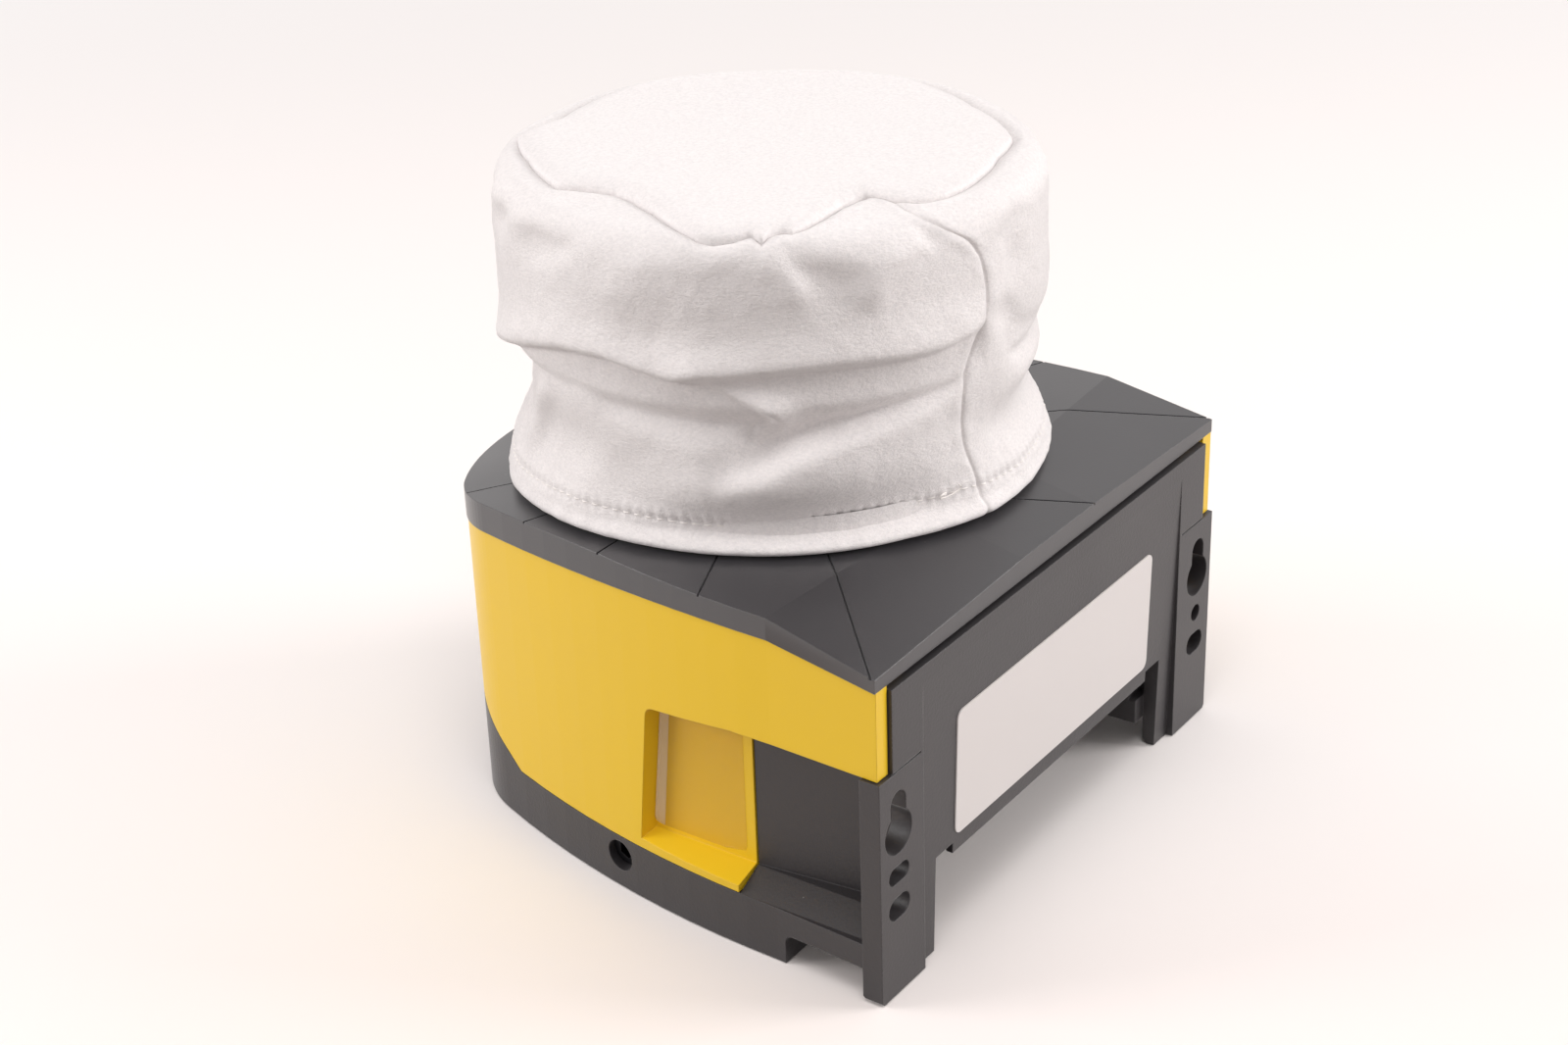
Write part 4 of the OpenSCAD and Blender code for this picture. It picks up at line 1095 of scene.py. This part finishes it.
@dataclass
class ConnectionUnit:
    """Dark connection unit: foot, rear box, mounting ears, locks, connectors and type plate."""

    def dress(self) -> None:
        """Dresses the unit's nodes."""
        # Glass-filled polyamide, moulded in a spark-eroded mould: a fine matt grain
        polyamide = MouldedPlastic(
            "glass_filled_polyamide_spark_eroded",
            "#2A2729",
            roughness=0.44,
            grain_mm=0.7,
            grain_depth_mm=0.05,
            edge_mm=0.35,
            dust=0.35,
            ior=1.54,
            gloss=0.55,
            sheen=0.3,
        )
        dress(["connection_housing"], polyamide.build())
        dress(["rear_label"], LabelFilm().build())
        # Plain black polyamide, moulded smooth
        insulator = MouldedPlastic("black_polyamide_moulded", "#26262A", 0.42, 1.2, 0.01, edge_mm=0.15)
        dress(["supply_insert", "network_insert", "unit_plug", "unit_socket"], insulator.build())
        # Nickel-plated brass, turned, with the coupling thread
        plated = PlainMetal("nickel_plated_turned_brass", "#C6C4BC", 0.24, 1.5, 0.01, thread_mm=1.0)
        dress(["supply_connector", "network_connector"], plated.build())
        # Zinc die casting, black passivated: a soft dark gleam
        zinc = PlainMetal("black_passivated_zinc_casting", "#3A3A3D", 0.42, 1.1, 0.02, (1, 1, 1))
        dress(["lock_left", "lock_right"], zinc.build())
        # Elastomer seal, moulded: deep black and matt
        elastomer = MouldedPlastic("black_elastomer_moulded", "#1C1C1E", 0.7, 0.9, 0.02, edge_mm=0.1)
        dress(["contact_seal"], elastomer.build())
        dress(["connection_board"], SolderMask("green_connection_board").build())


@dataclass
class ScannerUnit:
    """Yellow scanner unit with its dark, sight-grooved top plate, display and electronics."""

    def dress(self) -> None:
        """Dresses the unit's nodes."""
        # Polycarbonate blend, moulded in a fine-blasted mould: satin signal yellow
        yellow = MouldedPlastic("polycarbonate_blend_satin_yellow", "#E8BF1E", 0.34, 0.6, 0.012, pale=0.02)
        dress(["scanner_housing", "head_cap"], yellow.build())
        # The same blend in charcoal, satin, with settled dust
        charcoal = MouldedPlastic(
            "polycarbonate_blend_satin_charcoal",
            "#212024",
            roughness=0.33,
            grain_mm=0.6,
            grain_depth_mm=0.014,
            edge_mm=0.25,
            dust=0.45,
            ior=1.58,
            gloss=0.85,
            sheen=0.25,
        )
        dress(["top_plate"], charcoal.build())
        # Dyed polycarbonate, polished in the mould: near black and glossy
        smoked = ClearMoulding("dyed_polycarbonate_polished", "#0C0C12", 0.25, 0.06, 1.58)
        dress(["display_window", "optics_window"], smoked.build())
        # Clear acrylic, moulded: carries the status lights to the front
        dress(["light_pipes"], ClearMoulding("clear_acrylic_moulded", "#E8ECEF", 0.9, 0.08, 1.49).build())
        board = SolderMask().build()
        dress(["main_board", "io_board", "display_module", "receiver_board", "motor_board"], board)
        # Bright steel, turned: fine marks round its axis
        steel = PlainMetal("bright_turned_steel", "#B8B9BC", 0.3, 0.8, 0.01)
        bearings = ["bearing_lower", "bearing_upper", "rotor_shaft", "encoder_disc"]
        dress(["latch_hooks", "board_posts", *bearings, "cap_screws"], steel.build())
        # Silicone seals, moulded: black and nearly matt
        rubber = MouldedPlastic("black_silicone_moulded", "#1E1E20", 0.66, 1.0, 0.02, edge_mm=0.1)
        dress(["housing_seal", "window_seal", "cap_seal"], rubber.build())


@dataclass
class PanelFilm:
    """Bare clear film on the panel of the right side recess, with its front edge lifted off the corner."""

    panel_x: float = 61.06
    low_z: float = 17.6
    rear_y: float = 31.0
    front_y: float = 8.25
    front_z: float = 25.0
    front_lean: float = 0.109
    roof_z: float = 47.7
    roof_rise: float = 0.122
    lift_mm: float = 0.9
    loose_mm: float = 2.0
    thick_mm: float = 0.1
    corner_mm: float = 2.2
    # Given for a strip's rear end, it takes the strip to the film's own end
    past_end_mm: float = 99.0
    rows: int = 24
    columns: int = 20

    def strip(self, name: str, start: float, end: float, finish: bpy.types.Material) -> bpy.types.Object:
        """Builds a strip of the film.

        Args:
            name: name of the piece.
            start: distance in mm of the strip's front end from the film's front edge.
            end: distance of its rear end.
            finish: finish of the film.

        Returns:
            The strip.
        """
        length = self.rear_y - self.front_y
        far = np.minimum(np.linspace(start, end, self.columns)[:, None], length)
        v = np.linspace(0, 1, self.rows)[None]
        inset = self.corner_inset(far) + self.corner_inset(length - far)
        top = self.roof_z + self.roof_rise * far - inset
        z = self.low_z + inset + v * (top - self.low_z - inset)
        front = self.front_y + self.front_lean * (z - self.front_z)
        y = front + far / length * (self.rear_y - front)
        x = self.panel_x + self.lift_mm * np.clip(1 - far / self.loose_mm, 0, 1) ** 2 + np.zeros(z.shape)
        outer = np.stack([x + self.thick_mm, y, z], axis=-1).reshape(-1, 3)
        inner = np.stack([x, y, z], axis=-1).reshape(-1, 3)
        cols, rows = z.shape
        quads = [
            (i * rows + j, (i + 1) * rows + j, (i + 1) * rows + j + 1, i * rows + j + 1)
            for i in range(cols - 1)
            for j in range(rows - 1)
        ]
        back = cols * rows
        faces = quads + [tuple(back + k for k in quad[::-1]) for quad in quads]
        rim = [i * rows for i in range(cols)] + [(cols - 1) * rows + j for j in range(1, rows)]
        rim += [i * rows + rows - 1 for i in range(cols - 2, -1, -1)] + [j for j in range(rows - 2, 0, -1)]
        faces += [(a, back + a, back + b, b) for a, b in zip(rim, rim[1:] + rim[:1])]
        return new_piece(name, np.concatenate([outer, inner]) * MM, faces, finish)

    def corner_inset(self, from_end: np.ndarray) -> np.ndarray:
        """Returns how far in mm a rounded corner draws the edge in, at distances from the film's end."""
        left = self.corner_mm - np.clip(from_end, 0, self.corner_mm)
        return self.corner_mm - np.sqrt(self.corner_mm**2 - left**2)

    def build(self) -> None:
        """Builds the film that holds and its loose, milky front edge."""
        self.strip("panel_film", self.loose_mm, self.past_end_mm, ClearFilm().build())
        loose = ClearFilm("clear_adhesive_film_loose", "#F1E6D4", 0.3, 0.2).build()
        self.strip("panel_film_edge", 0.0, self.loose_mm, loose)


@dataclass
class OpticsAndRotor:
    """Transmitter, receiver, motor and spinning mirror of the head."""

    def dress(self) -> None:
        """Dresses the nodes."""
        # Black polyamide with a matt grain that swallows stray light
        trap = MouldedPlastic("matt_black_polyamide_moulded", "#222226", 0.62, 0.8, 0.04, edge_mm=0.15)
        fixed = ["optics_tube", "support_column", "encoder_sensor"]
        dress([*fixed, "mirror_carrier", "rotor_magnet"], trap.build())
        # Optical glass, polished and coated: clear, with a cool cast
        lens = ClearMoulding("coated_optical_glass_polished", "#CFE4F2", 0.95, 0.02, 1.52)
        dress(["receiver_lens"], lens.build())
        # Brass, turned: warm, with fine marks round its axis
        dress(["laser_module"], PlainMetal("turned_brass", "#C9A55A", 0.26, 0.8, 0.01).build())
        # Aluminium, milled: pale, with marks along the cut
        milled = PlainMetal("milled_aluminium", "#B4B6B9", 0.36, 1.0, 0.012, (1, 6, 1))
        dress(["motor_bracket"], milled.build())
        dress(["motor_stator"], CopperWinding().build())
        # Front-surface mirror, vapour coated: sharp and bright
        mirror = PlainMetal("front_surface_mirror_coating", "#E6E8EA", 0.07, 30.0, 0.0005, (1, 1, 1))
        dress(["scan_mirror"], mirror.build())


@dataclass
class Studio:
    """Pale table, soft lights, surroundings and camera."""

    camera_mm: tuple[float, float, float] = (433.63, 312.10, 327.12)
    right: tuple[float, float, float] = (-0.57246, 0.81936, -0.03071)
    down: tuple[float, float, float] = (0.38178, 0.23321, -0.89434)
    forward: tuple[float, float, float] = (-0.72563, -0.52370, -0.44632)
    lens_mm: float = 61.45
    sensor_mm: float = 36.0
    open_front: tuple[float, float, float] = (0.795, 0.573, -0.2)
    tent_level: float = 0.7
    front_level: float = 0.5
    lamp_colour: str = "#FFFDFC"
    lit_place: tuple[float, float, float] = (0.0, 0.0, 0.07)
    # Table top: a hair under the device, and white to the eye from white_from_m on
    table_r: float = 6.0
    table_sides: int = 96
    table_z: float = -0.0003
    # Painted shade: the table's colour towards the camera side, darker and warmer where less light falls
    table_shaded_warm: str = "#EFE3DE"
    table_pale: str = "#F6F1EF"
    table_lit: str = "#A39D9A"
    pale_to_m: float = 0.3
    white_from_m: float = 1.1

    def place_camera(self) -> None:
        """Places the camera."""
        data = bpy.data.cameras.new("view")
        data.sensor_width, data.lens = self.sensor_mm, self.lens_mm
        data.clip_start, data.clip_end = 0.02, 50
        camera = bpy.data.objects.new("view", data)
        bpy.context.scene.collection.objects.link(camera)
        turn = Matrix([self.right, [-v for v in self.down], [-v for v in self.forward]]).transposed().to_4x4()
        camera.matrix_world = Matrix.Translation(Vector(self.camera_mm) * MM) @ turn
        bpy.context.scene.camera = camera

    def lamp(self, name: str, place: tuple[float, float, float], size: float, power: float) -> None:
        """Hangs a square soft light that faces the device.

        Args:
            name: name of the light.
            place: place in metres.
            size: side in metres.
            power: power in watts.
        """
        data = bpy.data.lights.new(name, "AREA")
        data.shape, data.size, data.energy = "SQUARE", size, power
        data.color = linear(self.lamp_colour)[:3]
        light = bpy.data.objects.new(name, data)
        bpy.context.scene.collection.objects.link(light)
        light.location = place
        light.rotation_mode = "QUATERNION"
        light.rotation_quaternion = (Vector(self.lit_place) - Vector(place)).to_track_quat("-Z", "Y")
        log.info("hung %s", name)

    def surroundings(self) -> None:
        """Makes the soft white tent: bright overhead and at the sides, dim towards its open front."""
        world = bpy.data.worlds.new("soft_white_tent")
        bpy.context.scene.world = world
        world.use_nodes = True
        tree = world.node_tree
        tree.nodes.clear()
        seen = seen_rays(tree, "Is Camera Ray", "Is Glossy Ray", "Is Transmission Ray")
        way = add(tree, "ShaderNodeTexCoord").outputs["Generated"]
        front = add(tree, "ShaderNodeVectorMath", {0: way, 1: self.open_front}, operation="DOT_PRODUCT")
        level = add(
            tree,
            "ShaderNodeMapRange",
            {
                "Value": front.outputs["Value"],
                "From Min": -0.2,
                "From Max": 0.9,
                "To Min": self.tent_level,
                "To Max": self.front_level,
            },
            interpolation_type="SMOOTHSTEP",
        )
        shown = add(tree, "ShaderNodeMix", {0: seen, 2: level.outputs[0], 3: 1.0})
        back = add(tree, "ShaderNodeBackground", {"Color": linear("#FDF9F8"), "Strength": shown.outputs[0]})
        add(tree, "ShaderNodeOutputWorld", {"Surface": back.outputs[0]})

    def table(self) -> None:
        """Lays the pale table top, which keeps the device's shadow."""
        mesh = bpy.data.meshes.new("table_top")
        turns = [2 * math.pi * k / self.table_sides for k in range(self.table_sides)]
        rim = [(self.table_r * math.cos(t), self.table_r * math.sin(t), self.table_z) for t in turns]
        mesh.from_pydata(rim, [], [tuple(range(self.table_sides))])
        top = bpy.data.objects.new("table_top", mesh)
        bpy.context.scene.collection.objects.link(top)
        # Pale laminate, matt, with painted shade: a little warmer and darker towards the corner behind the
        # device's right side, the side towards the camera where less light falls. Only its seen colour is
        # pale: as a source of light from below it is dim, like a small table in a dark room
        material, tree, surface = blank("pale_laminate_matt", Roughness=0.7, IOR=1.45)
        place = add(tree, "ShaderNodeTexCoord").outputs["Object"]
        part = add(tree, "ShaderNodeSeparateXYZ", {0: place})
        near = add(tree, "ShaderNodeMath", {0: part.outputs[0], 1: part.outputs[1]}, operation="ADD")
        far = add(tree, "ShaderNodeMapRange", {"Value": near.outputs[0], "From Min": 0.32, "From Max": 0.05})
        # Painted shade: blends towards the darker, warmer colour away from the device, towards the camera
        # side
        tone = blend_colours(tree, far.outputs[0], linear(self.table_shaded_warm), linear(self.table_pale))
        seen = seen_rays(tree, "Is Camera Ray", "Is Glossy Ray")
        tone = blend_colours(tree, seen, linear(self.table_lit), tone)
        wire(tree, surface, Base_Color=tone)
        # Far from the device the table runs into the white of the surroundings
        length = add(tree, "ShaderNodeVectorMath", {0: place}, operation="LENGTH")
        away = add(
            tree,
            "ShaderNodeMapRange",
            {"Value": length.outputs["Value"], "From Min": self.pale_to_m, "From Max": self.white_from_m},
            interpolation_type="SMOOTHSTEP",
        )
        share = add(tree, "ShaderNodeMath", {0: away.outputs[0], 1: seen}, operation="MULTIPLY")
        white = add(tree, "ShaderNodeEmission", {"Color": linear("#FBF7F6"), "Strength": 1.0})
        shaders = {0: share.outputs[0], 1: surface.outputs[0], 2: white.outputs[0]}
        both = add(tree, "ShaderNodeMixShader", shaders)
        output = next(node for node in tree.nodes if node.type == "OUTPUT_MATERIAL")
        tree.links.new(both.outputs[0], output.inputs["Surface"])
        mesh.materials.append(material)

    def build(self) -> None:
        """Builds the studio."""
        self.place_camera()
        self.surroundings()
        self.table()
        self.lamp("top_softbox", (0.36, 0.25, 1.05), 0.5, 3.6)
        self.lamp("left_softbox", (0.8, -1.0, 0.5), 0.6, 9.0)
        self.lamp("right_softbox", (-0.75, 1.1, 0.5), 0.6, 12.0)
        bpy.context.scene.view_settings.view_transform = "Standard"


def main() -> None:
    """Builds the studio, dresses the solids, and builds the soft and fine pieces."""
    logging.basicConfig(level=logging.INFO, format="%(message)s")
    Studio().build()
    ConnectionUnit().dress()
    ScannerUnit().dress()
    PanelFilm().build()
    OpticsAndRotor().dress()
    # Polyester sewing thread: white with a soft gleam
    thread = MouldedPlastic("polyester_sewing_thread", "#EFEAE6", 0.6, 0.4, 0.03, edge_mm=0.02).build()
    DustHood().build(PolyesterFleece().build(), thread)


if __name__ == "__main__":
    main()
